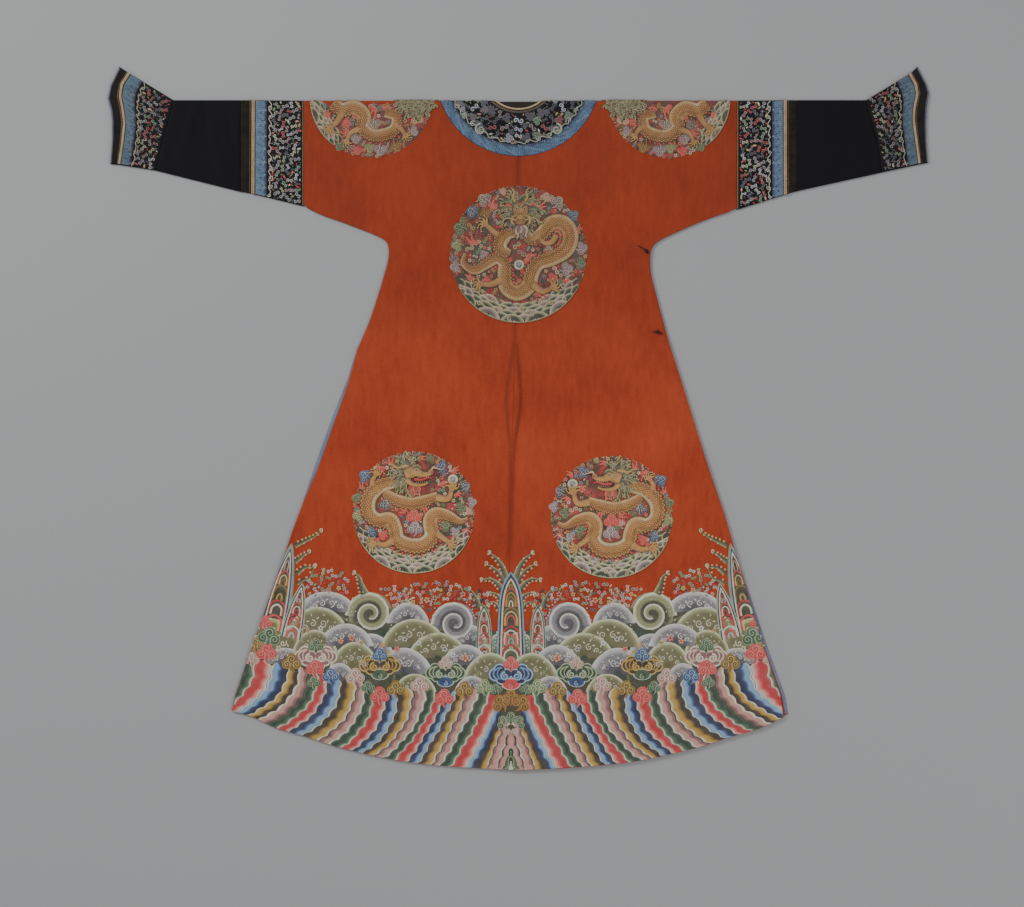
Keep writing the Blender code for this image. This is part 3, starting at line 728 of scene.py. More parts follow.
# The pale blue lining, which shows on the inner face of the fronts where they reach past the
# back. A narrow strip of silk on each side, laid in when the robe was lined.
lining_silk = cloth_material("lining silk", (78, 110, 142), (118, 148, 172), 0.6, 0.0007, 1.0, 0.05, 12.0)
linings = {}
for side, first_y, last_y in (("left", 0.150, -0.190), ("right", -0.310, -0.628)):
    lining_rows = []
    for y in steps_between(last_y, first_y, 0.01):
        outer = SIGN[side] * (silk_side(side, y, 1) - 0.0008)
        inner = outer - SIGN[side] * 0.024
        lining_rows.append([Vector((mix(inner, outer, i / 4), y, TRIM_TOP)) for i in range(5)])
    linings[side] = cloth_wall(
        "lining_strip_" + side, lining_rows, lining_silk, turned=side == "left", thickness=TRIM
    )

# The embroidery of the hem: the border of slanting stripes, the hills of waves with their curls,
# the mountains and the clouds. All of it is floss silk in satin stitch over a thin padding, laid
# from a pattern drawn on squares, with couched outlines and knots. Each half mirrors the other.
SQUARE = 0.00213
LEVEL = 0.00008
SINK = 0.00025
DYE_PARTS = named_table("""
    navy 18 28 70, blue 44 84 142, sky 134 172 206, ice 196 216 228, cream 226 218 186, white 238 234 222,
    coral 226 72 68, red 196 40 44, rose 228 140 128, pink 208 154 138, mauve 146 96 94, lilac 150 134 168,
    purple 104 76 130, umber 54 38 16, mustard 146 110 26, gold 200 156 56, straw 212 190 112,
    pine 28 58 40, green 70 104 64, leaf 126 156 96, jade 132 172 146, moss 64 64 36, olive 112 108 66,
    reed 150 150 104, foam 198 202 156, slate 82 78 86, dove 136 131 135, pearl 200 196 194, tan 172 130 78,
    sand 198 158 98, bark 96 62 34, orange 208 112 44, ink 16 18 26, peach 232 170 124, wine 116 26 40,
    steel 54 90 120, azure 88 130 158, mist 128 164 186, dusk 72 78 112, blush 228 170 158,
    celadon 170 186 150, russet 134 50 26
""")
DYES = {name: linear(*parts) for name, parts in DYE_PARTS.items()}
# name: dark, middle, light, outline
PALETTES = named_table("""
    red red coral rose rose, pink mauve pink white cream, green pine green jade foam,
    jade green leaf cream foam, mustard umber mustard straw gold, blue navy blue ice sky,
    navy navy navy ice pearl, lilac slate lilac white pearl, grey slate dove pearl white,
    white ink slate dove white, ash ink slate slate dove, wine ink wine red rose,
    amber umber mustard gold orange, taupe umber slate pink dove
""")
HILL_TONES = named_table("""
    olive cream cream foam reed olive olive olive olive, grey white white pearl pearl dove dove slate slate,
    deep olive olive moss moss moss pine pine pine, sea white foam green celadon green pine pine moss
""")
HILL_SPREAD = 1.08
HILL_POWER = 1.3
CURVE_STEPS = 8
RUYI_CURLS = ((0.92, -0.02, 0.42), (0.66, 0.26, 0.40), (0.56, -0.24, 0.40), (0.24, 0.02, 0.34))


def smooth_line(points, step):
    """A curve through points, as places evenly spread along it."""
    dense = []
    for i in range(len(points) - 1):
        p1, p2 = points[i], points[i + 1]
        p0 = points[i - 1] if i else (2 * p1[0] - p2[0], 2 * p1[1] - p2[1])
        p3 = points[i + 2] if i + 2 < len(points) else (2 * p2[0] - p1[0], 2 * p2[1] - p1[1])
        for t in [k / CURVE_STEPS for k in range(CURVE_STEPS)]:
            shares = (2 * t**2 - t**3 - t, 2 - 5 * t**2 + 3 * t**3, t + 4 * t**2 - 3 * t**3, t**3 - t**2)
            dense.append([sum(w * p[c] for w, p in zip(shares, (p0, p1, p2, p3))) / 2 for c in (0, 1)])
    dense.append(points[-1])
    lengths = [0.0]
    for a, b in zip(dense, dense[1:]):
        lengths.append(lengths[-1] + math.dist(a, b))
    count = max(2, round(lengths[-1] / step))
    places, at = [], 0
    for i in range(count + 1):
        goal = lengths[-1] * i / count
        while at < len(dense) - 2 and lengths[at + 1] < goal:
            at += 1
        share = (goal - lengths[at]) / max(lengths[at + 1] - lengths[at], 1e-9)
        places.append(between(dense[at], dense[at + 1], share))
    return places


def placed(dyes, first, last):
    """Dyes with their places, spread evenly from first to last where they give none."""
    words, pairs = dyes.split(), []
    for i, word in enumerate(words):
        dye, _, place = word.partition(":")
        pairs.append((float(place) if place else mix(first, last, i / (len(words) - 1)), dye))
    return pairs


def away_from(u, v, reach, angle):
    return u + reach * math.cos(angle), v + reach * math.sin(angle)


def turned(u, v, size, turn, *spots):
    """Places round a middle, made to size and turned."""
    c, s = math.cos(turn), math.sin(turn)
    return [(u + size * (c * x - s * y), v + size * (s * x + c * y)) for x, y in spots]


class Needlework:
    """Raised stitching laid on a cloth. Every shape is closed and carries its own dyes."""

    def __init__(self, lay, tone=(1.0, 1.0, 1.0), origin=(0.0, 0.0), flip=1):
        self.lay, self.tone, self.origin, self.flip, self.turn = lay, tone, origin, flip, 0.0
        self.points, self.faces, self.dyes, self.runs, self.shapes = [], [], [], [], []
        self.knots = []

    def dyed(self, dye):
        return tuple(part * share for part, share in zip(DYES[dye], self.tone))

    def spot(self, u, v):
        ((x, y),) = turned(0.0, 0.0, SQUARE, self.turn, (u, v))
        return self.origin[0] + self.flip * x, self.origin[1] + y

    def point(self, u, v, rise, dye, run=None):
        x, y = self.spot(u, v)
        self.points.append(self.lay(x, y, rise))
        self.dyes.append(self.dyed(dye))
        self.runs.append(y + 0.4 * x if run is None else run)

    def strips(self, rows):
        """A closed shape from rows of (u, v, rise, dye, run), low at both ends of each row."""
        first, count = len(self.points), len(rows[0])
        for row in rows:
            for place in row:
                self.point(*place)
        end, faces = first + (len(rows) - 1) * count, []
        for a in range(first, end, count):
            b = a + count
            for j in range(count):
                k = (j + 1) % count
                faces.append((a + j, a + k, b + k, b + j))
        faces += [tuple(range(first + count - 1, first - 1, -1)), tuple(range(end, end + count))]
        self.close(first, faces)

    def close(self, first, faces):
        """Takes in a shape's faces, the right way round."""
        low = min(p.z for p in self.points[first:])
        base = Vector((self.points[first].x, self.points[first].y, low))
        volume = 0.0
        for face in faces:
            a = self.points[face[0]] - base
            for p, q in zip(face[1:], face[2:]):
                volume += a.dot((self.points[p] - base).cross(self.points[q] - base))
        self.faces += faces if volume > 0 else [face[::-1] for face in faces]
        self.shapes.append((first, len(self.points)))

    def ribbon(self, points, width, dyes, level=0, rise=0.0006, step=1.3, raw=False):
        """A strip down a line. Dyes run across it, with their places from -1 to 1."""
        line = points if raw else smooth_line(points, step)
        dyes, rows, run = placed(dyes, -1.0, 1.0), [], 0.0
        profile = [(-1.0, -SINK, dyes[0][1])]
        profile += [(c * 0.96, level * LEVEL + rise * (1 - 0.5 * (c * 0.96) ** 2), dye) for c, dye in dyes]
        profile.append((1.0, -SINK, dyes[-1][1]))
        for i, (u, v) in enumerate(line):
            a, b = line[max(i - 1, 0)], line[min(i + 1, len(line) - 1)]
            length = math.dist(a, b) or 1.0
            nu, nv = (a[1] - b[1]) / length, (b[0] - a[0]) / length
            run += math.dist(line[i - 1], line[i]) * SQUARE if i else 0.0
            half = (width(i / (len(line) - 1)) if callable(width) else width) / 2
            rows.append([(u + nu * half * c, v + nv * half * c, top, dye, run) for c, top, dye in profile])
        self.strips(rows)

    def disc(self, u, v, radius, dyes, level=0, rise=0.0006, sides=16, tall=1.0):
        """A raised patch. Dyes run inwards, with their shares of the radius."""
        first, base, dyes = len(self.points), level * LEVEL, placed(dyes, 1.0, 0.0)
        rings = [(1.0, -SINK, dyes[0][1])]
        rings += [(t * 0.97, base + rise * (1 - 0.45 * t**2), dye) for t, dye in dyes if t > 0]
        for share, top, dye in rings:
            for i in range(sides):
                x, y = away_from(0.0, 0.0, radius * share, 2 * math.pi * i / sides)
                self.point(u + x, v + y * tall, top, dye)
        peak = len(self.points)
        self.point(u, v, base + rise, dyes[-1][1])
        faces = [tuple(range(first + sides - 1, first - 1, -1))]
        for a in range(first, peak, sides):
            for i in range(sides):
                j = (i + 1) % sides
                inner = a + sides
                faces.append((a + i, a + j, peak) if inner == peak else (a + i, a + j, inner + j, inner + i))
        self.close(first, faces)

    def spiral(self, u, v, radius, turns, width, dyes, level=0, start=0.0, way=1, rise=0.0005, inner=0.12):
        """A curl that winds in from its rim."""
        count = max(7, round(turns * (7.5 + radius * 0.4)))
        shares = [i / count for i in range(count + 1)]
        reaches = [(radius * mix(1.0, inner, t**0.85), start + way * 2 * math.pi * turns * t) for t in shares]
        line = [away_from(u, v, *reach) for reach in reaches]
        self.ribbon(line, lambda t: width * mix(1.0, 0.45, t), dyes, level, rise, raw=True)

    def knot(self, u, v, radius, dye, level=0, turn=0.0, stretch=1.0):
        """A knot or a short thick stitch, which is made with all the others at the end."""
        x, y = self.spot(u, v)
        angle = math.atan2(math.sin(turn + self.turn), self.flip * math.cos(turn + self.turn))
        size = radius * SQUARE
        self.knots.append((self.lay(x, y, level * LEVEL), size, size * stretch, angle, self.dyed(dye)))

    def flower(self, u, v, radius, petal, heart, petals=5, level=0, turn=0.0):
        for i in range(petals):
            place = away_from(u, v, radius * 0.62, turn + 2 * math.pi * i / petals)
            self.knot(*place, radius * 0.46, petal, level)
        self.knot(u, v, radius * 0.40, heart, level + 1)

    def lobe(self, u, v, radius, palette, level=0, start=0.0, way=1, turns=1.45):
        """One curled lobe of a cloud: a curl that winds in over a dark ground, pale on its outer side."""
        dark, middle, light, rim = PALETTES[palette]
        self.disc(u, v, radius * 1.06, f"{rim} {middle}:0.86 {dark}", level, 0.0003, round(9 + radius * 0.5))
        shades = f"{dark} {rim}:-0.7 {light}:-0.2 {middle}:0.4 {dark}"
        if way < 0:
            shades = f"{dark} {middle}:-0.4 {light}:0.2 {rim}:0.7 {dark}"
        self.spiral(u, v, radius * 0.74, turns, radius * 0.46, shades, level + 1.2, start, way, 0.0006, 0.08)

    def cloud(self, u, v, size, palette, level=0, turn=0.0):
        """A small cloud head: two curls that roll in to a third over them, on a tapered tail."""
        dark, middle, light, rim = PALETTES[palette]
        tail = turned(u, v, size, turn, (0.0, 0.1), (0.10, -0.55), (-0.16, -1.0))
        self.ribbon(tail, lambda t: size * mix(0.75, 0.12, t), f"{dark} {middle} {rim}", level, 0.0004)
        spots = turned(u, v, size, turn, (0.56, 0.02), (-0.56, 0.02), (0.0, 0.58))
        for spot, share, start, way in zip(spots, (0.55, 0.55, 0.62), (-2.3, -0.84, -0.9), (-1, 1, 1)):
            self.lobe(*spot, size * share, palette, level + 1, start + turn, way)

    def scroll(self, u, v, size, palette, level=0, turn=0.0):
        """Two curls that run into each other like an S, with a leaf on the back of each."""
        dark, middle, light, rim = PALETTES[palette]
        for way in (-1, 1):
            middle_at, leaf_at = turned(u, v, size, turn, (way * 0.5, 0.0), (way * 0.55, -way * 0.72))
            start = turn + (0.0 if way < 0 else math.pi)
            shades = f"{rim} {light} {dark}"
            self.spiral(*middle_at, size * 0.5, 1.35, size * 0.30, shades, level, start, 1, 0.0005, 0.1)
            self.knot(*leaf_at, size * 0.15, middle, level, turn + 0.6, 2.1)

    def ruyi(self, u, v, size, palette, bud, base, level=0):
        """A big cloud head: curls in pairs round a leaf, a small cloud over them and a base below."""
        dark, middle, light, rim = PALETTES[palette]
        foot = PALETTES[base]
        self.disc(u, v - size * 0.58, size * 0.58, f"white {foot[1]}:0.84 {foot[0]}", level - 1, tall=0.62)
        curl = f"{foot[0]} {foot[3]}:-0.4 {foot[2]}:0.4 {foot[1]}"
        self.spiral(u, v - size * 0.70, size * 0.17, 1.3, size * 0.1, curl, level + 1, math.pi / 2)
        outlines = f"{middle} {rim}:0.95 {light}:0.8 {light}"
        for dyes, grown, up in ((outlines, 1.0, 0), (f"{middle} {dark}:0.9 {dark}", 0.76, 4)):
            for way in (-1, 1):
                for x, y, r in RUYI_CURLS:
                    at = u + way * size * x, v + size * y
                    self.disc(*at, size * r * grown, dyes, level + up, 0.0003, 14)
        for way in (-1, 1):
            for out, wide in ((0.62, 0.13), (0.38, 0.09)):
                hook = []
                for angle in steps_between(-1.0, 1.35, 0.35):
                    x, y = 0.42 + out * math.cos(angle), 0.02 + 0.44 * math.sin(angle) * mix(0.8, 1.0, out)
                    hook.append((u + way * size * x, v + size * y))
                self.ribbon(hook, size * wide, f"{middle} {rim} {middle}", level + 9, raw=True)
            curl = f"{middle} {rim}:-0.6 {rim}:0.0 {light}:0.5 {middle}"
            at = u + way * size * 0.36, v - size * 0.12
            self.spiral(*at, size * 0.28, 1.7, size * 0.17, curl, level + 11, math.pi / 2, -way, 0.0006, 0.1)
        self.cloud(u, v + size * 0.56, size * 0.42, bud, level + 14)

    def hill(self, u, v, across, tall, kind, level, foam=False):
        """A wave's round back, in arcs from a pale rim to a dark foot."""
        rim, *tones = HILL_TONES[kind]
        shares = (1.0, 0.955, 0.90, 0.78, 0.62, 0.40, 0.12)
        if across < 13:
            shares, tones = shares[::2], tones[::2]
        across *= HILL_SPREAD

        def spot(angle, share, high=None):
            up = max(math.sin(angle), 0.0) ** HILL_POWER * (high or share)
            return u + across * math.cos(angle) * share, v + tall * up

        count = max(10, round(across * 0.8))
        profile = [(1.01, -SINK, tones[0], 0.0)]
        for share, tone in zip(shares, tones):
            top = level * LEVEL + 0.0006 * (1 - 0.15 * abs(2 * share - 1.2))
            profile.append((share, top, tone, share * tall * SQUARE))
        profile.append((0.10, -SINK, tones[-1], 0.0))
        angles = [math.pi * i / count for i in range(count + 1)]
        self.strips([[(*spot(angle, share), *rest) for share, *rest in profile] for angle in angles])
        arc = steps_between(0.03, math.pi - 0.03, 0.2 if across > 13 else 0.32)
        arc = [spot(angle, 0.99, 0.985) for angle in arc]
        curl = f"{tones[1]} {rim} {tones[0]}"
        self.ribbon(arc, min(2.3, across * 0.1), curl, level + 1, 0.0005, raw=True)
        if foam:
            for place, size, way in ((-0.42, 0.10, 1), (-0.16, 0.13, -1), (0.16, 0.12, 1), (0.42, 0.10, -1)):
                at = u + across * place, v + tall * (0.52 - abs(place) * 0.5)
                self.spiral(*at, across * size, 1.3, across * 0.055, curl, level + 2, place * 9, way, 0.0006)
            for i in range(9):
                angle = mix(0.5, 2.64, i / 8)
                at = spot(angle, 0.62 + 0.14 * (i % 2))
                self.knot(*at, min(across * 0.03, 0.9), tones[i % 2], level + 7, angle + i, 2.4)

    def mountain(self, foot, peak, half_width, outlines, arches, level=0, pitch=6.4, sharp=4.5):
        """A steep peak: nested outlines over a stack of arches, each with smaller ones inside it."""
        tall = math.dist(foot, peak)
        au, av = (peak[0] - foot[0]) / tall, (peak[1] - foot[1]) / tall

        def place(a, b):
            return foot[0] + au * a + av * b, foot[1] + av * a - au * b

        def narrowed(t):
            return 1 - 0.26 * t - 0.74 * t**sharp

        def arch(high, half):
            sides = [1 - (1 - t) ** 1.5 for t in steps_between(0.0, 1.0, 0.09)]
            sides = [(high * t, half * narrowed(t)) for t in sides]
            return [place(a, -b) for a, b in sides] + [place(a, b) for a, b in reversed(sides[:-1])]

        body = arch(tall, half_width)
        rows = []
        for i in range(len(body) // 2 + 1):
            left, right = body[i], body[-1 - i]
            row = [(*between(left, right, t), level * LEVEL, "moss", i * 0.002) for t in (0.02, 0.5, 0.98)]
            rows.append([(*left, -SINK, "ink", 0.0), *row, (*right, -SINK, "ink", 0.0)])
        rows[-1] = [(u + 0.02 * k, *rest) for k, (u, *rest) in enumerate(rows[-1])]
        self.strips(rows)
        band = half_width / (len(outlines) + 5.5)
        for i, dye in enumerate(outlines):
            inset = (i + 0.5) * band
            line = arch(tall - inset * 1.8, half_width - inset)
            self.ribbon(line, band * 0.98, f"{dye} {dye} {dye}", level + 1, 0.0005, raw=True)
        inside = half_width - len(outlines) * band
        reach = tall - len(outlines) * band * 1.8
        spot, i = 0.0, 0
        while spot < reach - pitch:
            high = min(pitch * 2.3, reach - spot)
            half = inside * narrowed((spot + high * 0.6) / reach) * 0.98
            dyes = arches[i % len(arches)]
            for n, dye in enumerate(dyes):
                share = n / len(dyes)
                wide, top = half * (1 - 0.96 * share), spot + high * (1 - 0.84 * share)
                base = spot + pitch * 0.1
                bends = ((0.0, -1), (0.62, -0.94), (0.9, -0.5), (1.0, 0), (0.9, 0.5), (0.62, 0.94), (0.0, 1))
                line = [place(mix(base, top, t), wide * side) for t, side in bends]
                self.ribbon(line, half * 0.88 / len(dyes), f"ink {dye}:-0.6 {dye}", level + 1.4, 0.0005, 2.2)
            spot += high
            i += 1

    def plume(self, points, width, bead, level=0, beads=5):
        """A feathery spray of foam: a tapered frond with knots down one side and a curl at its tip."""
        dyes = "ink moss:-0.5 olive:0.3 reed:0.8 foam"
        self.ribbon(points, lambda t: width * (1.25 - t), dyes, level, 0.0005)
        line = smooth_line(points, 0.5)
        for i in range(beads):
            t = mix(0.18, 1.0, i / max(beads - 1, 1))
            at = int(t * (len(line) - 1))
            (u, v), a, b = line[at], line[max(at - 2, 0)], line[min(at + 2, len(line) - 1)]
            length = math.dist(a, b) or 1.0
            nu, nv = (b[1] - a[1]) / length, (a[0] - b[0]) / length
            out = width * (1.15 - t) * 0.5 + 0.9
            self.knot(u + nu * out, v + nv * out, 1.6, bead, level + 3)
            self.knot(u + nu * (out + 0.3), v + nv * (out + 0.3), 0.7, "mustard", level + 15)
            if i % 2:
                self.knot(u - nu * out * 0.7, v - nv * out * 0.7, 1.2, "foam", level + 2)
        u, v = points[-1]
        self.spiral(u, v + 1.2, 2.4, 1.1, 1.5, f"{bead} cream:0.3 olive", level + 5, -1.57, -1)

    def curl_wave(self, u, v, radius, kind, level):
        """A breaking wave: a band that winds in, pale at its rim and dark inside."""
        rim, body, deep = {"olive": ("foam", "reed", "moss"), "grey": ("pearl", "dove", "slate")}[kind]
        self.disc(u, v, radius * 0.93, f"{body} {deep}:0.8 {deep}", level, 0.0005, 20)
        dyes = f"cream white:-0.76 {rim}:-0.56 {body}:-0.2 {body}:0.4 {deep}:0.8 moss"
        self.spiral(u, v, radius * 0.85, 1.8, radius * 0.46, dyes, level + 1.5, -0.1, 1, 0.0006, 0.12)

    def made(self, name, material):
        """The mesh of all the shapes, each with its own place on the map for the finish."""
        mesh = bpy.data.meshes.new(name)
        mesh.from_pydata(self.points, [], self.faces)
        write_values(mesh, "dye", "FLOAT_COLOR", [part for colour in self.dyes for part in (*colour, 1.0)])
        write_values(mesh, "run", "FLOAT", self.runs)
        pack_shapes(mesh, self.points, self.shapes)
        piece = finished(name, mesh, material)
        mesh.set_sharp_from_angle(angle=math.radians(58))
        return piece


def pack_shapes(mesh, points, shapes, gap=0.0012):
    """Sets each shape's plan in its own place on the map, in rows from the widest to the least."""
    plans = [(p.x, p.y + 0.4 * p.z) for p in points]
    boxes = []
    for first, end in shapes:
        xs, ys = zip(*plans[first:end])
        boxes.append((max(ys) - min(ys), max(xs) - min(xs), min(xs), min(ys), first, end))
    boxes.sort(reverse=True)
    side = math.sqrt(sum((h + gap) * (w + gap) for h, w, *_ in boxes)) * 1.08
    side = max(side, max(w for _, w, *_ in boxes) + 2 * gap)
    x = y = tallest = 0.0
    for height, width, low_x, low_y, first, end in boxes:
        if x + width + gap > side:
            x, y, tallest = 0.0, y + tallest + gap, 0.0
        tallest = max(tallest, height)
        for i in range(first, end):
            plans[i] = plans[i][0] - low_x + x + gap / 2, plans[i][1] - low_y + y + gap / 2
        x += width + gap
    full = max(side, y + tallest + gap)
    uv = mesh.uv_layers.new(name="OFBake").uv
    for loop in mesh.loops:
        u, v = plans[loop.vertex_index]
        uv[loop.index].vector = (u / full, v / full)


def make_stitch_group():
    """Satin stitches side by side along a shape: their height, and their shade, uneven tone with a little
    painted shade.
    """
    inputs = {"Run": ("Float", 0.0), "Vector": ("Vector", None), "Stitch": ("Float", 0.0009)}
    group, start, end = node_group("satin stitch", "ShaderNodeTree", inputs, RAISED_AND_SHADED)
    turns = maths(group, "DIVIDE", 2 * math.pi, start["Stitch"])
    waver = (noise(group, start["Vector"], 130.0), 5.0)
    wave = maths(group, "SINE", summed(group, 0.0, (start["Run"], turns), waver))
    feed(group, end["Height"], summed(group, noise(group, start["Vector"], 420.0), (wave, 0.4)))
    patches = noise(group, start["Vector"], 60.0, 3.0)
    # A tenth of the shade is painted shade that follows each stitch's ridge; the rest is uneven tone.
    feed(group, end["Shade"], summed(group, 0.0, (wave, 0.10), (patches, 0.9)))
    return group


STITCH = make_stitch_group()


def floss_material(name, stitch, roughness, bump, metallic=0.0):
    made, tree, place = new_material(name)
    dye = node_in(tree, "ShaderNodeAttribute", attribute_name="dye").outputs["Color"]
    run = node_in(tree, "ShaderNodeAttribute", attribute_name="run").outputs["Fac"]
    inputs = {"Stitch": stitch, "Run": run, "Vector": place}
    stitches = node_in(tree, "ShaderNodeGroup", inputs, node_tree=STITCH).outputs
    # Each dye goes between a darker and a paler copy by the stitch shade: uneven tone, with a little painted
    # shade along the stitches.
    dark = blend_colours(tree, 1.0, dye, (0.66, 0.64, 0.63), "MULTIPLY")
    colour = blend_colours(tree, stitches["Shade"], dark, blend_colours(tree, 0.10, dye, (0.9, 0.86, 0.78)))
    plain = {"Roughness": roughness, "Metallic": metallic, "Specular IOR Level": 0.35}
    plain.update({"Sheen Weight": 0.04, "Sheen Roughness": 0.4})
    finish(tree, colour, stitches["Height"], bump, 0.0003, plain)
    return made


floss = floss_material("silk floss", 0.0010, 0.5, 0.5)


def on_silk(x, y, rise):
    """The place of a stitch on the back of the robe, kept inside the silk's edges."""
    side = "left" if x < seam_x(y) else "right"
    reach = silk_side(side, clamp(y, HEM_Y, EDGES[side][-1][0] - 0.002)) - 0.0006
    if y < EDGES[side][-1][0]:
        x = clamp(x, -reach, reach)
    y = max(y, hem_y(x) + 0.0004)
    if y > FOLD_Y:
        along = HALF_TURN - min(y - FOLD_Y, 1.25 * HALF_TURN)
        return over_the_fold(x, along, rise)
    return Vector((x, y, silk_top(x, y) + rise))


HEM_CENTRE = (-0.0160, -0.7487)
# where a stripe's outer side crosses the hem, where that side starts at the top, dyes, way they run
STRIPES = table("""
    302 268 green 1, 291 256 red 1, 281 240 blue -1, 270.5 224 mustard -1, 260.5 213.5 pink -1,
    250 203 green 1, 239 193 red 1, 227.5 184 blue 1, 213.5 170 mustard 1, 198.5 155.5 pink 1,
    185.5 146 green 1, 173 137 red 1, 163 125 blue 1, 151.5 113.5 mustard 1, 140 98 pink 1,
    129.5 84 green 1, 117.5 73.5 red 1, 104.5 62.5 blue 1, 93.5 52.5 mustard 1, 79.5 42 pink 1,
    70.5 29.5 green 1, 60 19.5 red 1, 46 13 blue -1, 35.5 10.5 mustard 1, 24.5 8 pink 1, 14 1 none 1
""")
# place along the hem, height of the stripes' top there
STRIPE_TOP = table("""
    0 50, 8 50, 10.5 56, 13 69, 19.5 79, 40 83, 70 79, 100 84, 115 80, 146 88, 172 93, 195 99, 225 106,
    268 112
""")
STRIPE_DYES = named_table("""
    green green pine pine pine green green celadon, red coral red red red coral rose blush,
    blue navy navy navy blue sky sky mist, mustard umber umber umber mustard gold gold straw,
    pink umber mauve mauve pink pink pink cream
""")
# share of a stripe's width and rise, for each of its dyes
STRIPE_PROFILE = table("""
    0.03 0.0002, 0.15 0.0005, 0.3 0.0006, 0.45 0.0007, 0.6 0.0007, 0.73 0.0006, 0.84 0.0005
""")
STRIPE_HEAD = 0.0013
# place along the hem, how high the dark ground reaches
GROUND_TOP = table("""
    0 134, 20 140, 56 146, 80 148, 100 146, 125 150, 150 156, 172 160, 186 160, 200 148, 212 128, 250 122,
    306 122
""")


def hem_square(u):
    """Height of the hem's edge, in squares."""
    return (hem_y(HEM_CENTRE[0] + u * SQUARE) - HEM_CENTRE[1]) / SQUARE


def rippled(line, phase=0.0):
    """A line with the small even waves of the border."""
    wavy, run = [], 0.0
    for i, (u, v) in enumerate(line):
        run += math.dist(line[i - 1], line[i]) if i else 0.0
        angle = 2 * math.pi * run / 11.6 + phase
        ripple = math.sin(angle) - 0.22 * math.cos(2 * angle) + 0.5 * math.sin(0.37 * angle + 9 * phase)
        wavy.append((u - 0.75 * ripple, v - 0.55 * ripple))
    return wavy


def stripe_side(hem_u, top_u):
    """One wavy side of a stripe, from its top down to the hem."""
    top_v, hem_v = table_value(STRIPE_TOP, top_u), hem_square(hem_u)
    sweep = smooth_step((hem_u - 100) / 50)
    turn_u, turn_v = mix(top_u, hem_u, mix(0.32, -0.1, sweep)), mix(top_v, hem_v, mix(0.45, 0.62, sweep))
    line = []
    for t in steps_between(0.0, 1.0, 0.02):
        a, b, c = (1 - t) ** 2, 2 * t * (1 - t), t**2
        line.append((a * top_u + b * turn_u + c * hem_u, a * top_v + b * turn_v + c * hem_v))
    return rippled(line, hem_u * 0.02)


def lay_ground(work):
    """Dark floss under the stripes and waves, so that no silk shows between them."""
    rows = []
    for u in steps_between(-1.0, 306.0, 6.0):
        vs = [mix(hem_square(u) + 0.4, table_value(GROUND_TOP, u), i / 13) for i in range(14)]
        row = [(u, v, 0.00012, "moss" if v > 50 else "umber", v * SQUARE) for v in vs]
        rows.append([(u, vs[0], -SINK, "moss", 0.0), *row, (u, vs[-1], -SINK, "moss", 0.0)])
    work.strips(rows)


def lay_stripes(work):
    lay_ground(work)
    sides = [stripe_side(*row[:2]) for row in STRIPES]
    for (outer, inner), (_, _, name, way) in zip(zip(sides, sides[1:]), STRIPES):
        dyes = STRIPE_DYES[name]
        profile = [(0.0, -SINK, dyes[0]), *((t, rise, dye) for (t, rise), dye in zip(STRIPE_PROFILE, dyes))]
        profile += [(0.96, 0.0004, "white"), (1.0, -SINK, "cream")]
        if way < 0:
            profile = [(1 - t, rise, dye) for t, rise, dye in reversed(profile)]
        rows, run = [], 0.0
        for i, (a, b) in enumerate(zip(outer, inner)):
            run += math.dist(outer[i - 1], a) if i else 0.0
            narrow = min(1.0, 0.3 + 0.28 * i)
            head = STRIPE_HEAD * smooth_step(1.4 - run / 11)
            row = []
            for t, rise, dye in profile:
                place = between(a, b, 0.5 + (t - 0.5) * narrow)
                row.append((*place, rise + (head if rise > 0 else 0.0), dye, run * SQUARE))
            rows.append(row)
        work.strips(rows)
    pinks, greens = "white pink:-0.84 pink:0.1 mauve:0.7 umber", "foam leaf:-0.7 green:0.0 pine"
    for points, start, end, dyes, level in (
        (((3.5, 42), (8, 32), (13, 19), (20.5, 0.5)), 4.0, 8.5, pinks, 1),
        (((0.8, 40), (2.2, 28), (6.0, 14), (12.0, 0.5)), 4.0, 7.0, pinks, 3),
        (((0.6, 19), (3, 11), (6.4, 0.5)), 1.4, 4.6, greens, 5),
        (((0.4, 9), (1.0, 0.5)), 0.8, 3.0, "cream pearl white", 7),
    ):
        line = rippled(smooth_line(points, 1.3))
        work.ribbon(line, lambda t: mix(start, end, t), dyes, level, 0.0007, raw=True)


# middle and foot of a wave's back, half width, height, kind, level
HILLS = table("""
    52 86 62 58 deep 3, 122 92 56 70 deep 3.5, 182 98 46 58 deep 3, 234 106 40 40 deep 3.5,
    184 158 27 20 grey 5, 41 122 17 23 grey 4, 8 118 16 20 olive 4, 193 134 29 29 olive 7,
    244 116 36 36 olive 7, 140 116 20 20 grey 7, 196 118 20 22 olive 9, 165 124 25 22 grey 9,
    226 106 20 16 grey 9, 156 99 23 29 olive 11, 171 87 15 20 grey 13, 103 147 19 20 grey 6,
    97 123 30 28 olive 8, 73 112 28 25 olive 10, 107 96 26 26 grey 12, 46 103 22 22 grey 12,
    21 88 25 29 olive 14, 96 78 19 18 olive 14, 39 77 16 17 grey 16
""")
CURLS = table("140.5 156 24 olive 5, 56 147 23 grey 5")
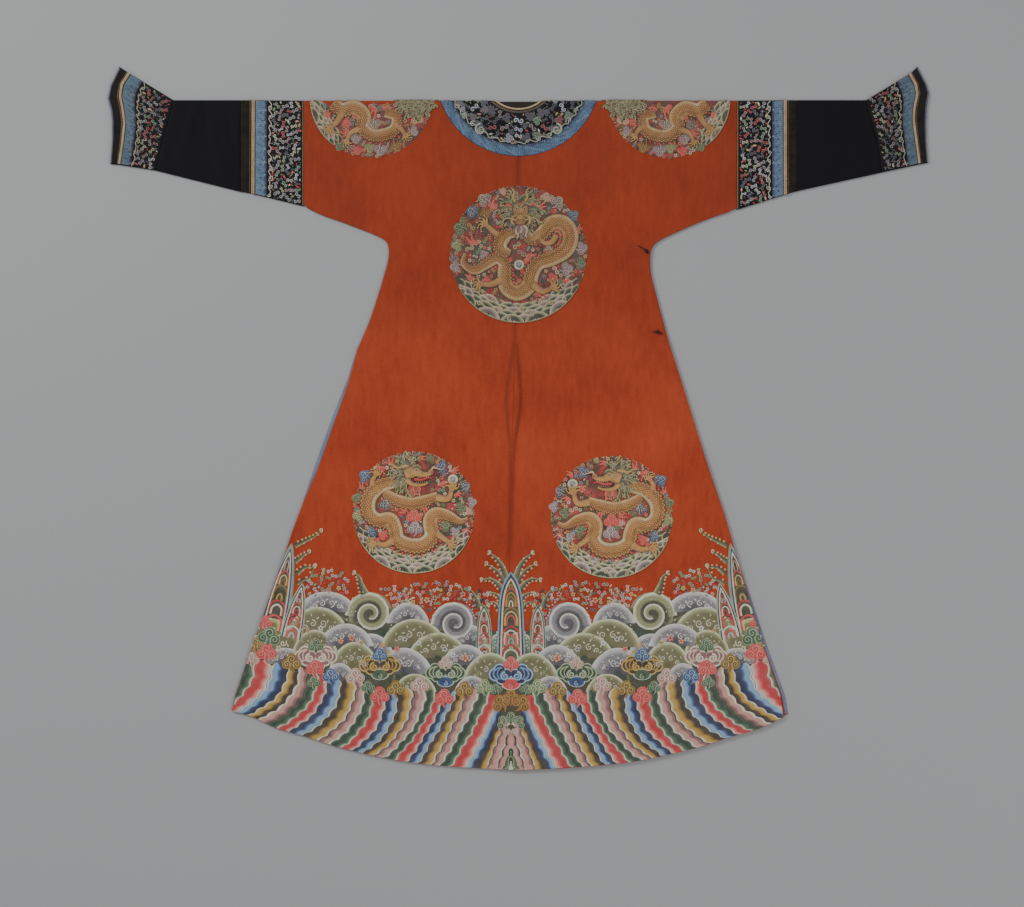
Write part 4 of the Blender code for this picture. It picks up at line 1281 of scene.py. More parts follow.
# place, size, petals, heart, level above its hill's
HILL_FLOWERS = table("""
    190 142 3.0 white olive 14, 203 140 2.2 peach coral 14, 159 132 3.4 rose red 15,
    170 129 3.0 peach coral 15, 150 128 2.8 straw mauve 15, 147 106 3.2 pearl slate 17,
    139 112 2.4 white slate 17, 232 122 3.0 cream olive 14, 238 112 2.6 pink coral 15,
    106 131 3.0 pearl slate 15, 92 127 2.8 white lilac 15, 82 134 2.2 foam moss 15,
    114 121 3.2 rose coral 17, 122 118 2.4 straw gold 17, 66 121 3.0 pearl slate 17,
    58 115 3.0 white lilac 17, 46 112 4.0 peach coral 18, 33 98 2.6 leaf gold 20, 10 100 2.6 leaf gold 20,
    106 106 3.0 pearl purple 18, 96 103 2.4 lilac navy 18, 128 125 2.8 peach straw 16,
    98 168 2.6 straw leaf 13, 112 170 2.4 peach coral 13, 84 170 3.4 peach red 13,
    88 178 2.2 rose coral 12, 104 174 2.6 rose mustard 12, 76 172 2.8 pink ink 12,
    62 176 2.6 peach mustard 12, 48 176 3.0 rose ink 12, 70 180 2.0 straw leaf 12,
    182 180 3.0 pink leaf 12, 172 182 2.6 straw leaf 12, 192 183 2.4 mauve white 12,
    164 178 2.4 rose coral 12, 120 176 2.4 peach coral 12, 130 181 2.0 pink pearl 12
""")
# ends of a chain of knots with its bulge, how many, size, dye, level
FOAM_BEADS = table("""
    167 147 158 172 3.5 7 1.3 foam 15, 158 172 148 178 2.0 4 1.0 foam 15,
    80 150 76 162 2.0 4 1.0 pearl 14, 35 152 38 164 -2.0 5 1.1 pearl 14, 38 164 46 171 -1.5 4 1.0 ice 14,
    118 156 122 138 -1.0 6 1.0 foam 14, 198 163 182 160 -1.0 5 1.1 white 15,
    14 138 17 122 0.0 6 1.1 ice 19, 22 140 24 122 0.0 5 0.9 jade 19, 228 128 222 112 0.0 6 1.2 cream 15
""")
CLOUD_SIZE = 1.34
# place, size, palette, level, turn
CLOUDS = table("""
    246 146.5 5.0 red 18 0.0, 242 131.5 7.6 green 18 0.2, 255 124 5.4 mustard 17 0.0,
    259 110 5.2 pink 17 0.0, 244 116 7.0 red 18 0.0, 219 106 6.6 mustard 18 0.0, 196 100.5 6.2 red 18 0.0,
    180 93 5.6 blue 19 0.0, 197 87 4.6 green 17 0.0, 155.5 92 6.4 pink 19 0.0, 131 73 6.4 red 19 0.0,
    115 80 6.0 mustard 19 0.0, 91 84 6.2 pink 19 0.0, 66.5 71 6.4 red 19 0.0, 46.5 79 6.2 mustard 19 0.0,
    26.5 82 5.8 jade 19 0.0, 143 82 4.6 green 18 0.0
""")
# place, size, palette, bud, base, level
RUYI = table("""
    195 114 16.5 pink green red 20, 131 105 16 mustard blue green 20, 65.5 97.5 15.5 green pink blue 20
""")
PLUMES = (
    # line from its root to its tip, width, dye of its beads, how many
    (((5, 192), (9, 204), (15, 212), (22, 217)), 6.0, "peach", 6),
    (((6, 188), (11, 196), (18, 202), (25, 206)), 5.0, "peach", 5),
    (((8, 180), (14, 187), (21, 191), (30, 190)), 5.0, "peach", 6),
    (((9, 168), (14, 175), (20, 177), (24, 175)), 4.2, "peach", 5),
    (((10, 158), (15, 166), (20, 168), (23, 164)), 3.6, "peach", 4),
    (((32, 162), (34, 170), (38, 177), (42, 181)), 5.0, "lilac", 4),
    (((146, 176), (150, 186), (152, 193), (157, 197)), 7.0, "peach", 6),
    (((216, 224), (206, 229), (196, 234), (190, 239)), 4.0, "straw", 7),
    (((216, 208), (211, 212), (206, 216), (202, 218)), 4.4, "peach", 5),
    (((214, 196), (210, 200), (205, 203), (197, 203)), 4.4, "peach", 5),
    (((214, 186), (208, 190), (202, 192), (196, 204)), 3.0, "peach", 4),
)
GROUND_DYES = "red coral moss peach green leaf ink red straw mauve navy cream olive".split()
GROUND_PALETTES = "ash blue lilac green pink red mustard jade wine white green".split()
PETAL_DYES = "white pink peach sky cream leaf rose".split()
HEART_DYES = "coral navy mustard green".split()
ALL_MOTIFS = (Needlework.cloud, Needlework.scroll, Needlework.scroll)


def fill_gaps(
    work, inside, box, taken, level, seed, sizes, palettes=GROUND_PALETTES, motifs=ALL_MOTIFS, snug=0.92
):
    """Scrolls, flowers and single stitches wherever there is room for them, the largest first."""
    dice = random.Random(seed)
    for radius, tries in sizes:
        for _ in range(int(tries)):
            u, v = dice.uniform(box[0], box[1]), dice.uniform(box[2], box[3])
            if not inside(u, v, radius):
                continue
            if any(math.hypot(u - a, v - b) < radius * snug + r for a, b, r in taken):
                continue
            taken.append((u, v, radius))
            turn, way = dice.uniform(0, 6.28), dice.choice((-1, 1))
            if radius > 3:
                dice.choice(motifs)(work, u, v, radius * 0.95, dice.choice(palettes), level, turn)
            elif radius > 2:
                petal, heart = dice.choice(PETAL_DYES), dice.choice(HEART_DYES)
                work.flower(u, v, radius, petal, heart, 5, level + 2, turn)
            else:
                work.knot(u, v, radius * 0.66, dice.choice(GROUND_DYES), level, turn, 2.2)


EDGE_ARCHES = table("coral straw mustard, red cream moss, mustard umber gold")
SMALL_ARCHES = table("cream coral pearl, red coral leaf, coral cream red")
SPRAY_PALETTES = "white ash wine green grey jade pink green".split()
SPRAY_SIZES = ((3.8, 260), (3.05, 500), (1.9, 500), (1.3, 700), (0.9, 500))
# middle, half width and half height of a spray of flecks over the waves
SPRAYS = table("""
    76 174 38 14, 184 184 22 16, 116 170 16 13, 30 168 8 12
""")


def lay_waves(work):
    for u, v, across, tall, kind, level in HILLS:
        work.hill(u, v, across, tall, kind, level, kind != "deep")
    for row in CURLS:
        work.curl_wave(*row)
    work.mountain((239, 140), (218.5, 228), 15, ("reed", "mist", "navy", "cream"), EDGE_ARCHES, 10, 6.6, 3.0)
    work.mountain((220, 132), (208, 188), 11, ("celadon", "navy", "cream"), SMALL_ARCHES, 12, 5.2, 3.2)
    work.mountain((26.5, 114), (27, 166), 8.8, ("jade", "pine", "cream"), SMALL_ARCHES, 9, 5.0, 6.0)
    for u, v, size, petal, heart, level in HILL_FLOWERS:
        work.flower(u, v, size, petal, heart, 5, level, u)
    for u0, v0, u1, v1, bulge, count, size, dye, level in FOAM_BEADS:
        length = math.dist((u0, v0), (u1, v1))
        for t in steps_between(0.0, 1.0, 1 / (count - 1)):
            out = bulge * math.sin(math.pi * t)
            u, v = between((u0, v0), (u1, v1), t)
            work.knot(u - (v1 - v0) / length * out, v + (u1 - u0) / length * out, size, dye, level)
    for line, width, bead, beads in PLUMES:
        work.plume(line, width, bead, 8, beads)
    for heart_u, heart_v, half, tall in SPRAYS:

        def inside(u, v, size):
            return ((u - heart_u) / half) ** 2 + ((v - heart_v) / tall) ** 2 < 1

        box = (heart_u - half, heart_u + half, heart_v - tall, heart_v + tall)
        taken = [(row[0], row[1], row[2] * 0.8) for row in HILL_FLOWERS]
        taken += [(u, v, size * 0.98) for u, v, size, _, _ in CURLS] + [(103, 147, 19), (184, 156, 21)]
        fill_gaps(work, inside, box, taken, 6, 5, SPRAY_SIZES, SPRAY_PALETTES, (Needlework.scroll,), 0.7)


def lay_clouds(work):
    for u, v, size, palette, level, turn in CLOUDS:
        work.cloud(u, v, size * CLOUD_SIZE, palette, level + 4, turn)
    for row in RUYI:
        work.ruyi(*row)


def geometry_tree(name, **inputs):
    sockets = {"Geometry": ("Geometry", None), **inputs, "Material": ("Material", None)}
    return node_group(name, "GeometryNodeTree", sockets, {"Geometry": ("Geometry", None)})


def end_tree(tree, geometry, start, end):
    """Makes a tree's copies real and smooth, and gives them its material."""
    for kind in ("RealizeInstances", "SetShadeSmooth", "SetMaterial"):
        node = node_in(tree, "GeometryNode" + kind, {"Geometry": geometry})
        geometry = node.outputs["Geometry"]
    feed(tree, node.inputs["Material"], start["Material"])
    feed(tree, end["Geometry"], geometry)
    return tree


def named_value(tree, name, kind):
    node = node_in(tree, "GeometryNodeInputNamedAttribute", {"Name": name}, data_type=kind)
    return node.outputs["Attribute"]


def knot_tree():
    """Sets a small dome on every point, as wide as its size and in its dye."""
    tree, start, end = geometry_tree("knot stitches", Height=("Float", 0.6), Sides=("Int", 6))
    dome = node_in(tree, "GeometryNodeMeshUVSphere", {"Segments": start["Sides"], "Rings": 3})
    squash = node_in(tree, "ShaderNodeCombineXYZ", {0: 1.0, 1: 1.0, 2: start["Height"]})
    shape = {"Geometry": dome.outputs["Mesh"], "Scale": squash.outputs[0]}
    points = node_in(tree, "GeometryNodeMeshToPoints", {"Mesh": start["Geometry"]})
    copied = {"Points": points.outputs["Points"]}
    copied["Instance"] = node_in(tree, "GeometryNodeTransform", shape).outputs["Geometry"]
    copied["Scale"] = named_value(tree, "size", "FLOAT_VECTOR")
    copied["Rotation"] = named_value(tree, "turn", "FLOAT_VECTOR")
    copies = node_in(tree, "GeometryNodeInstanceOnPoints", copied)
    return end_tree(tree, copies.outputs["Instances"], start, end)


KNOT_TREE = knot_tree()


def set_inputs(modifier, tree, **values):
    """Sets a tree's named inputs on its modifier, by each socket's identifier."""
    modifier.node_group = tree
    for item in tree.interface.items_tree:
        if item.item_type == "SOCKET" and item.in_out == "INPUT" and item.name in values:
            modifier[item.identifier] = values[item.name]


def knots_made(name, works, material, height=0.55):
    """All the knot stitches of some needlework, as one piece."""
    knots = [knot for work in works for knot in work.knots]
    mesh = bpy.data.meshes.new(name)
    mesh.from_pydata([row[0] for row in knots], [], [])
    sizes = [part for _, size, long, _, _ in knots for part in (long, size, size)]
    write_values(mesh, "size", "FLOAT_VECTOR", sizes)
    write_values(mesh, "turn", "FLOAT_VECTOR", [part for row in knots for part in (0.0, 0.0, row[3])])
    write_values(mesh, "dye", "FLOAT_COLOR", [part for row in knots for part in (*row[4], 1.0)])
    piece = finished(name, mesh, material, False)
    set_inputs(piece.modifiers.new("knots", "NODES"), KNOT_TREE, Height=height, Sides=5, Material=material)
    plain_mesh(piece)
    places = [v.co for v in piece.data.vertices]
    each = len(places) // len(knots)
    pack_shapes(piece.data, places, [(i * each, (i + 1) * each) for i in range(len(knots))])
    return piece


knot_silk = floss_material("knotted floss", 0.0007, 0.5, 0.35)
HEM_PARTS = {"stripes": lay_stripes, "waves": lay_waves, "clouds": lay_clouds}
hem, hem_works = {}, []
for side in SIDES:
    for part, lay_part in HEM_PARTS.items():
        work = Needlework(on_silk, origin=HEM_CENTRE, flip=SIGN[side])
        lay_part(work)
        hem[part, side] = work.made(f"hem_{part}_{side}", floss)
        if part == "waves":
            hem_works.append(work)
PEAK_ARCHES = table("""
    red cream green slate, red cream coral jade, mustard straw coral moss, coral gold mustard cream,
    gold mustard straw red
""")
# place of the right one of a pair, size, palette, level, turn
MIDDLE_CLOUDS = table("""
    6.6 47 6.6 green 18 -0.5, 0 51 6.2 green 20 0, 14.5 80 5.6 green 22 -0.3, 9.4 66 8.6 amber 23 -0.55,
    0 72 8 amber 25 0, 3.6 37.5 3.6 pink 16 -0.6
""")
work = Needlework(on_silk, origin=HEM_CENTRE)
work.mountain((0, 106), (0, 199), 14.7, ("mist", "navy", "cream"), PEAK_ARCHES, 11, 8.2, 8.0)
for u, v, size, palette, level, turn in MIDDLE_CLOUDS:
    for way in (-1, 1) if u else (1,):
        work.cloud(way * u, v, size, palette, level, way * turn)
work.ruyi(0, 96, 17.0, "blue", "red", "red", 28)
hem_middle = work.made("hem_middle", floss)
hem_knots = knots_made("hem_knots", hem_works, knot_silk)

# Roundels. Five dragons on the back and shoulders, each in a round of waves, clouds and flowers.
# Their bodies are gold thread couched down in scales, over floss in every colour; each has five claws.
ROUND_HEARTS = {
    # which of the three patterns, place of the middle, radius in squares
    "back": ("back", (0.0, 0.3493), 68.5),
    "left": ("side", (-0.2226, -0.2000), 61.0),
    "right": ("side", (0.1981, -0.2098), 61.0),
    "left_shoulder": ("shoulder", (-0.3138, 0.6848), 61.5),
    "right_shoulder": ("shoulder", (0.3206, 0.6837), 61.5),
}
# how much of each colour's red, green and blue shows; on the upper rounds partly painted shade, as on the
# upper silk
UPPER_TONE_AND_SHADE = (0.74, 0.58, 0.44)
ROUND_TONES = {"back": UPPER_TONE_AND_SHADE, "side": (1.06, 0.86, 0.70), "shoulder": UPPER_TONE_AND_SHADE}
TRUNK_DYES = "umber bark:-0.88 tan:-0.5 tan:0.2 sand:0.6 straw:0.86 umber"
LIMB_DYES = "umber gold:-0.7 sand tan:0.7 umber"
TRUNK_RISE = 0.0011
GROUND_STEP = 5.0
GROUND_RISE = 0.0002
MANE_DYES = "jade olive dove celadon reed".split()
RIM_DYES = "jade pearl moss rose sky straw slate".split()
RIM_KNOTS = 170


def widths(*values):
    """Width down a line, from values at even steps of it."""
    rows = [(i / (len(values) - 1), value) for i, value in enumerate(values)]
    return lambda t: table_value(rows, t)


def beside(u, v, way, text):
    """A line of places beside another one, mirrored where way is -1."""
    return [(u + way * x, v + y) for x, y in table(text)]


def trunk(work, points, width, level, taken):
    """A stretch of a dragon's body: a dark ground, rows of scales, belly bars and a row of spines."""
    line = smooth_line(points, 1.8)
    last = len(line) - 1
    work.ribbon(line, width, TRUNK_DYES, level, TRUNK_RISE, raw=True)
    for i in range(1, last):
        (u, v), half = line[i], width(i / last) / 2
        angle = math.atan2(line[i + 1][1] - line[i - 1][1], line[i + 1][0] - line[i - 1][0])
        taken.append((u, v, half + 0.5))

        def stitch(out, size, dye, height, lean, stretch):
            spot = away_from(u, v, half * out, angle + math.pi / 2)
            work.knot(*spot, half * size, dye, height, angle + lean, stretch)

        for row in range(4):
            out = -0.80 + 0.30 * row + (0.15 if i % 2 else 0.0)
            crown = level + TRUNK_RISE / LEVEL * (1 - 0.5 * out * out)
            stitch(out, 0.17, "tan" if row == 1 else "sand", crown, 0.0, 1.25)
        stitch(0.66, 0.09, "cream", level + 10, 1.57, 3.0)
        if i % 2:
            stitch(-1.12, 0.14, "reed" if i % 4 == 1 else "coral", level + 3, 1.2, 2.2)


def limb(work, points, level, taken, size=1.0):
    """A leg with a foot of five claws, spread like a wheel."""
    work.ribbon(points, widths(9 * size, 7 * size, 5 * size), LIMB_DYES, level, 0.0010)
    (u, v), (near_u, near_v) = points[-1], points[-2]
    heading = math.atan2(v - near_v, u - near_u)
    for i in range(5):
        angle = heading + (i - 2) * 0.62
        bends = ((0.0, 0.0), (3.6, 0.0), (6.2, 0.18), (8.4, 0.55))
        place = [away_from(u, v, size * reach, angle + bend) for reach, bend in bends]
        claw = "umber gold:-0.3 straw:0.6 bark"
        work.ribbon(place, widths(3.0 * size, 2.8 * size, 1.8 * size, 0.5), claw, level + 7, 0.0008, 0.9)
        work.knot(*place[-1], 0.9 * size, "cream", level + 8, angle + 0.8, 1.6)
    work.disc(u, v, 3.4 * size, "umber sand:0.8 tan", level + 9, 0.0008, 12)
    taken += [(*place, 3.6 * size) for place in smooth_line(points, 4.0)] + [(u, v, 6.4 * size)]


def locks(work, u, v, inner, outer, low, high, count, dyes, width, level):
    """Locks of hair, fanned from one angle to another, each with a curl at its tip."""
    dyes = dyes.split()
    for i in range(count):
        angle, dye = mix(low, high, i / (count - 1)), dyes[i % len(dyes)]
        way = -1 if 1.57 <= (angle + 6.3) % 6.28 <= 4.71 else 1
        tip = outer * (1.0 if i % 2 else 0.82)
        bends = ((0.0, 0.0), (0.55, 0.10), (1.0, -0.3))
        place = [away_from(u, v, mix(inner, tip, share), angle + way * bend) for share, bend in bends]
        wide, high_up = widths(width, width * 1.15, width * 0.5), level + 0.7 * (i % 3)
        work.ribbon(place, wide, f"ink {dye}:-0.55 {dye}:0.3 foam", high_up, 0.0007, 1.1)
        work.spiral(*place[-1], width * 0.75, 1.0, width * 0.5, f"{dye} foam", level + 4, angle, way)


def mane(work, u, v, inner, outer, low, high, count, level):
    """Small curls of hair, spread between two angles."""
    for i in range(count):
        angle, reach = mix(low, high, (i * 0.7549) % 1), mix(inner, outer, (i * 0.5698) % 1)
        spot, shades = away_from(u, v, reach, angle), f"ink {MANE_DYES[i % 5]}:-0.4 foam"
        work.spiral(*spot, 2.1, 1.15, 1.25, shades, level + 2 * (i % 3), angle + i, 1 if i % 2 else -1)


def eye(work, u, v, size, level):
    work.disc(u, v, size, "ink straw:0.82 cream:0.62 ink:0.5 ink", level, 0.0010, 12)


def front_head(work, u, v, level):
    """A dragon's head seen from the front, chin down."""
    locks(work, u, v, 6, 22, -0.5, 3.64, 17, "moss olive slate green", 4.2, level)
    locks(work, u, v - 4, 6, 18, 3.5, 5.92, 9, "moss slate olive", 3.6, level)
    mane(work, u, v, 9, 22, -0.7, 3.84, 38, level + 6)
    for way in (-1, 1):
        horn, ear = beside(u, v, way, "4 9, 7 15, 6 21, 10 25"), beside(u, v, way, "8 6, 13 8, 16 5")
        work.ribbon(horn, widths(3.4, 3, 2.4, 0.8), "umber straw sand", level + 8, 0.0010)
        work.ribbon(ear, widths(2.5, 4.5, 0.8), "umber coral sand", level + 8)
    work.disc(u, v + 2, 8.2, "umber tan:0.86 tan:0.5 sand", level + 12, 0.0012, 20, tall=1.35)
    work.disc(u, v - 7.5, 6.0, "umber tan:0.84 tan", level + 17, 0.0012, 18, tall=1.2)
    for way in (-1, 1):
        brow = beside(u, v, way, "1.2 4.5, 4.5 8.3, 9.5 6.2")
        work.ribbon(brow, widths(2.2, 2.8, 0.8), "bark green foam", level + 26)
        eye(work, u + way * 3.9, v + 3.4, 1.9, level + 25)
        curl = "umber straw bark"
        work.spiral(u + way * 2.6, v + 9.2, 2.0, 1.2, 1.1, curl, level + 27, 0.0, way)
        work.spiral(u + way * 6.4, v - 3.4, 2.2, 1.3, 1.2, curl, level + 27, 1.6, way)
        work.disc(u + way * 2.5, v - 7.2, 2.3, "umber gold:0.8 tan", level + 31, 0.0008, 10)
        work.knot(u + way * 2.5, v - 7.8, 0.9, "ink", level + 40)
        cheek = beside(u, v, way, "3 -3, 8 -5, 9 -10, 6 -13")
        work.ribbon(cheek, widths(1.2, 3.2, 3.0, 0.8), "bark straw sand", level + 24)
        whisker = beside(u, v, way, "4 -8, 14 -6, 20 -11, 25 -7")
        work.ribbon(whisker, widths(1.8, 1.5, 1.1, 0.5), "bark cream straw", level + 22)
    for i in range(3):
        furrow = beside(u, v + 1.5 * i, 1, f"{i - 3} 8.6, 0 9.6, {3 - i} 8.6")
        work.ribbon(furrow, 0.8, "bark umber", level + 25)
    work.disc(u, v - 5.0, 2.7, "bark straw:0.75 tan", level + 32, 0.0010, 12)
    work.ribbon(beside(u, v, 1, "-4.6 -11.6, 0 -12.6, 4.6 -11.6"), 1.9, "ink wine red", level + 29)
    for i in range(6):
        work.knot(u - 3.5 + 1.4 * i, v - 11.4 - 0.7 * math.sin(math.pi * i / 5), 0.4, "cream", level + 36)
    locks(work, u, v - 10, 3, 15, 4.1, 5.32, 8, "purple pearl mauve", 2.6, level + 20)


def side_head(work, u, v, level):
    """A dragon's head seen from the side, facing along u, with its jaws open."""
    locks(work, u - 5, v + 2, 3, 21, 1.35, 4.3, 14, "moss olive slate green", 4.0, level)
    mane(work, u - 5, v + 2, 8, 21, 1.2, 4.4, 30, level + 6)
    horn, tongue = "-4 8, -11 11, -18 9, -25 13", "-2 -3, 6 -3.4, 13 -1, 17 -3.5"
    lower, upper = "-10 -3, -3 -8, 6 -8.4, 12 -6.4", "-11 2, -2 5, 7 2.2, 15 3"
    work.ribbon(beside(u, v, 1, horn), widths(4, 3.6, 2.6, 0.8), "umber straw sand", level + 9, 0.0010)
    work.ribbon(beside(u, v, 1, tongue), widths(3, 2.6, 2.0, 0.5), "ink red:-0.5 coral", level + 14)
    work.ribbon(beside(u, v, 1, lower), widths(6, 5, 3.6, 2.2), LIMB_DYES, level + 12, 0.0010)
    work.ribbon(beside(u, v, 1, upper), widths(11, 12.5, 6.6, 4.4), LIMB_DYES, level + 16, 0.0013)
    work.disc(u + 15, v + 4.6, 3.2, "umber tan:0.8 sand", level + 22, 0.0010, 12)
    work.knot(u + 16, v + 4.4, 0.9, "ink", level + 33)
    brow = beside(u, v, 1, "-4 8, 1 10.5, 6 7.6")
    work.ribbon(brow, widths(1.2, 3.0, 0.8), "bark green foam", level + 30)
    eye(work, u + 0.5, v + 6.2, 2.0, level + 30)
    for x, y, radius in ((-6, 3.5, 2.4), (-3, 0.6, 2.0), (6.5, 3.2, 1.7)):
        work.spiral(u + x, v + y, radius, 1.3, 1.1, "umber straw bark", level + 31, x)
    for i in range(6):
        work.knot(u + 2 + 2.1 * i, v - 0.9 + 0.12 * i, 0.5, "cream", level + 22, 1.57, 1.5)
        work.knot(u + 0.5 + 2.0 * i, v - 5.8 + 0.1 * i, 0.45, "cream", level + 20, 1.57, 1.4)
    for up, long in ((6.0, 20), (4.5, 26)):
        whisker = beside(u, v, 1, f"14 5, 18 {up + 4}, {long} {up + 2}, {long + 3} {up + 6}")
        work.ribbon(whisker, widths(1.5, 1.3, 0.9, 0.4), "bark cream straw", level + 24)
    locks(work, u - 2, v - 7, 2, 12, 4.0, 5.4, 6, "red mauve coral", 2.8, level + 8)


def flame(work, u, v, long, turn, level=9):
    """A tongue of fire in three points with a curl at its root."""
    for swing, share in ((0.55, 0.7), (-0.5, 0.75), (0.0, 1.0)):
        bends = ((0.0, 0.0), (0.5, 0.22), (0.8, -0.06), (1.0, 0.12))
        place = [away_from(u, v, long * share * t, turn + swing + bend) for t, bend in bends]
        dyes = "ink red:-0.75 coral peach:0.8 red"
        work.ribbon(place, widths(long * 0.24, long * 0.2, 0.3), dyes, level, 0.0006, 1.0)
    work.lobe(u, v, long * 0.2, "red", level + 2, turn)


def pearl(work, u, v, size, level):
    work.disc(u, v, size, "ink cream:0.92 white:0.72 sky:0.55 navy:0.3 ice", level, 0.0012, 20)
    work.spiral(u, v, size * 0.42, 1.4, size * 0.16, "sky white", level + 15)


def wave_band(work, radius, low, high, depth, level, taken):
    """Waves that stand on the rim of a roundel between two angles, and point to its middle."""
    low, high = math.radians(low), math.radians(high)
    angles = steps_between(low, high, 0.05)
    last = len(angles) - 1

    def thin(t):
        return depth * 0.84 * min(1.0, 0.2 + 3 * t, 0.2 + 3 * (1 - t))

    arc = [(radius - thin(i / last) / 2, angle) for i, angle in enumerate(angles)]
    ground = [away_from(0.0, 0.0, *place) for place in arc]
    work.ribbon(ground, thin, "pine green slate", level, 0.0004, raw=True)
    across = depth * 0.56
    count = round((high - low) * radius / (across * 1.2))
    for layer, (inset, tall) in enumerate(((0.64, 0.40), (0.46, 0.36), (0.27, 0.36), (0.09, 0.34))):
        for i in range(count + 1 - layer % 2):
            share = (i + 0.5 * (layer % 2)) / count
            size = min(1.0, 0.45 + 2.2 * share, 0.45 + 2.2 * (1 - share))
            work.turn = mix(low, high, share) + math.pi / 2
            kind, on = "sea" if (i + layer) % 3 else "grey", level + 2 + 4 * layer + (i % 2)
            work.hill(0, -(radius - depth * inset), across * size, depth * tall * size, kind, on)
    work.turn = 0.0
    rim = [away_from(0.0, 0.0, radius * 0.992, angle) for angle in angles]
    foam = "pine celadon:-0.4 foam:0.3 green"
    work.ribbon(rim, widths(0.6, 1.3, 1.3, 1.3, 1.3, 0.6), foam, level + 17, 0.0005, raw=True)
    for i in range(count):
        angle, reach = mix(low, high, (i + 0.25) / count), radius - depth * mix(0.15, 0.95, (i * 0.61) % 1)
        spot, way = away_from(0.0, 0.0, reach, angle), 1 if i % 2 else -1
        curl = "moss cream:-0.3 foam"
        work.spiral(*spot, depth * 0.16, 1.2, depth * 0.08, curl, level + 19, angle + 3.1, way)
    taken += [(*away_from(0.0, 0.0, *place), depth * 0.5) for place in arc[::2]]


# sizes of what fills a round, and how often each is tried
ROUND_SIZES = table("""
    5.2 300, 4.0 600, 3.1 1200, 2.1 2200, 1.4 3000, 1.0 3000
""")
BACK_TRUNK = table("""
    4 26, 13 14, 23 20, 33 31, 45 31, 52 20, 48 5, 34 -4, 20 -9, 13 -20, 10 -32, -1 -39, -12 -33, -14 -20,
    -14 -9, -22 -4, -33 -10, -44 -16, -55 -9, -53 1
""")
SIDE_TRUNK = table("""
    -8 31, -22 30, -36 25, -45 14, -45 0, -36 -8, -24 -7, -19 -16, -16 -27, -4 -33, 10 -32, 18 -23, 16 -8,
    22 -1, 34 -3, 46 -9, 54 -6
""")
SHOULDER_TRUNK = table("""
    -38 -6, -29 -13, -16 -11, -7 -19, -9 -30, 0 -38, 13 -38, 24 -32, 25 -20, 14 -16
""")
ROUND_CLOUDS = {
    # place, size, palette, turn towards the rim
    "back": table("""
        -33 54 6.5 grey 1.0, -45 42 6.0 blue 1.1, -57 26 6.5 green 1.3, -60 9 5.6 jade 1.6,
        -62 -12 5.6 lilac 1.8, -34 -1 4.6 lilac 0.6, 38 51 6.5 grey -0.7, 27 56 5.0 pink -0.3,
        54 38 5.6 blue -0.9, 62 6 6.0 lilac -1.4, 61 -9 5.4 green -1.7, 47 -15 6.4 lilac -1.4,
        30 3 4.8 grey 0.0, -31 -27 5.0 red 1.7, 33 -24 5.0 red -1.5
    """),
    "side": table("""
        -48 36 6.0 blue 1.0, -56 14 5.2 green 1.4, -55 -3 5.4 jade 1.7, -29 7 5.6 navy 0.0,
        -41 -19 5.0 blue 1.7, 27 44 5.6 blue -0.6, 50 25 5.6 navy -1.0, 57 10 5.0 lilac -1.4,
        46 4 5.2 green -1.4, 1 -17 7.0 lilac 0.0, 0 -5 7.0 red 0.0, 30 -14 5.4 green -1.0,
        40 -20 4.8 lilac -1.2, -30 -23 4.6 red 1.2, -33 42 4.6 red 0.7
    """),
    "shoulder": table("""
        3.5 -26 6.0 grey 3.1, -15 -41 5.4 lilac 3.1, 9.5 -52 6.2 lilac 3.1, -1 -50 5.2 jade 3.1,
        45 -21 6.4 pink -2.0, 41 -34 5.4 lilac -2.2, 25 -49 5.6 mustard 3.6, -31 -49 4.6 green 2.6,
        -13 -53 4.6 red 3.0, 50 -10 5.8 grey -1.6
    """),
}
ROUND_FLAMES = {
    # root, length, heading
    "back": table("""
        -9 -6 13 2.6, 8 -7 16 0.5, 4 -17 11 -0.9, -24 47 13 2.1, 22 44 11 1.1, -42 12 14 2.7, 60 22 9 1.4,
        -45 -24 10 2.7, 46 -27 10 -0.4, 18 -40 12 -0.2
    """),
    "side": table("""
        -20 47 11 2.2, -50 24 9 2.2, -36 -27 10 3.6, 40 40 9 0.9, 6 52 9 0.6, 42 17 9 0.2, 28 27 9 0.6,
        50 -18 9 -0.3, -8 4 10 -2.6, 8 4 10 -0.6
    """),
    "shoulder": table("0 -10 14 -1.2, -24 -34 10 -2.2, 14 -12 12 -0.4, 33 -13 10 0.2, -46 -16 10 -1.2"),
}
GROUND_MIX = "russet red wine russet moss bark".split()


def round_ground(work, radius, top):
    """Thin dark floss over the whole round, with a darker edge."""
    dice = random.Random(5)
    rows = []
    for v in steps_between(-radius, min(top, radius), GROUND_STEP):
        half = math.sqrt(max(radius**2 - v**2, 1.0))
        us = [mix(-half, half, i / 24) for i in range(25)]
        dyes = ["moss", *[dice.choice(GROUND_MIX) for _ in us[2:]], "moss"]
        row = [(u, v, GROUND_RISE, dye, v * SQUARE) for u, dye in zip(us, dyes)]
        rows.append([(us[0], v, -SINK, "moss", 0.0), *row, (us[-1], v, -SINK, "moss", 0.0)])
    work.strips(rows)


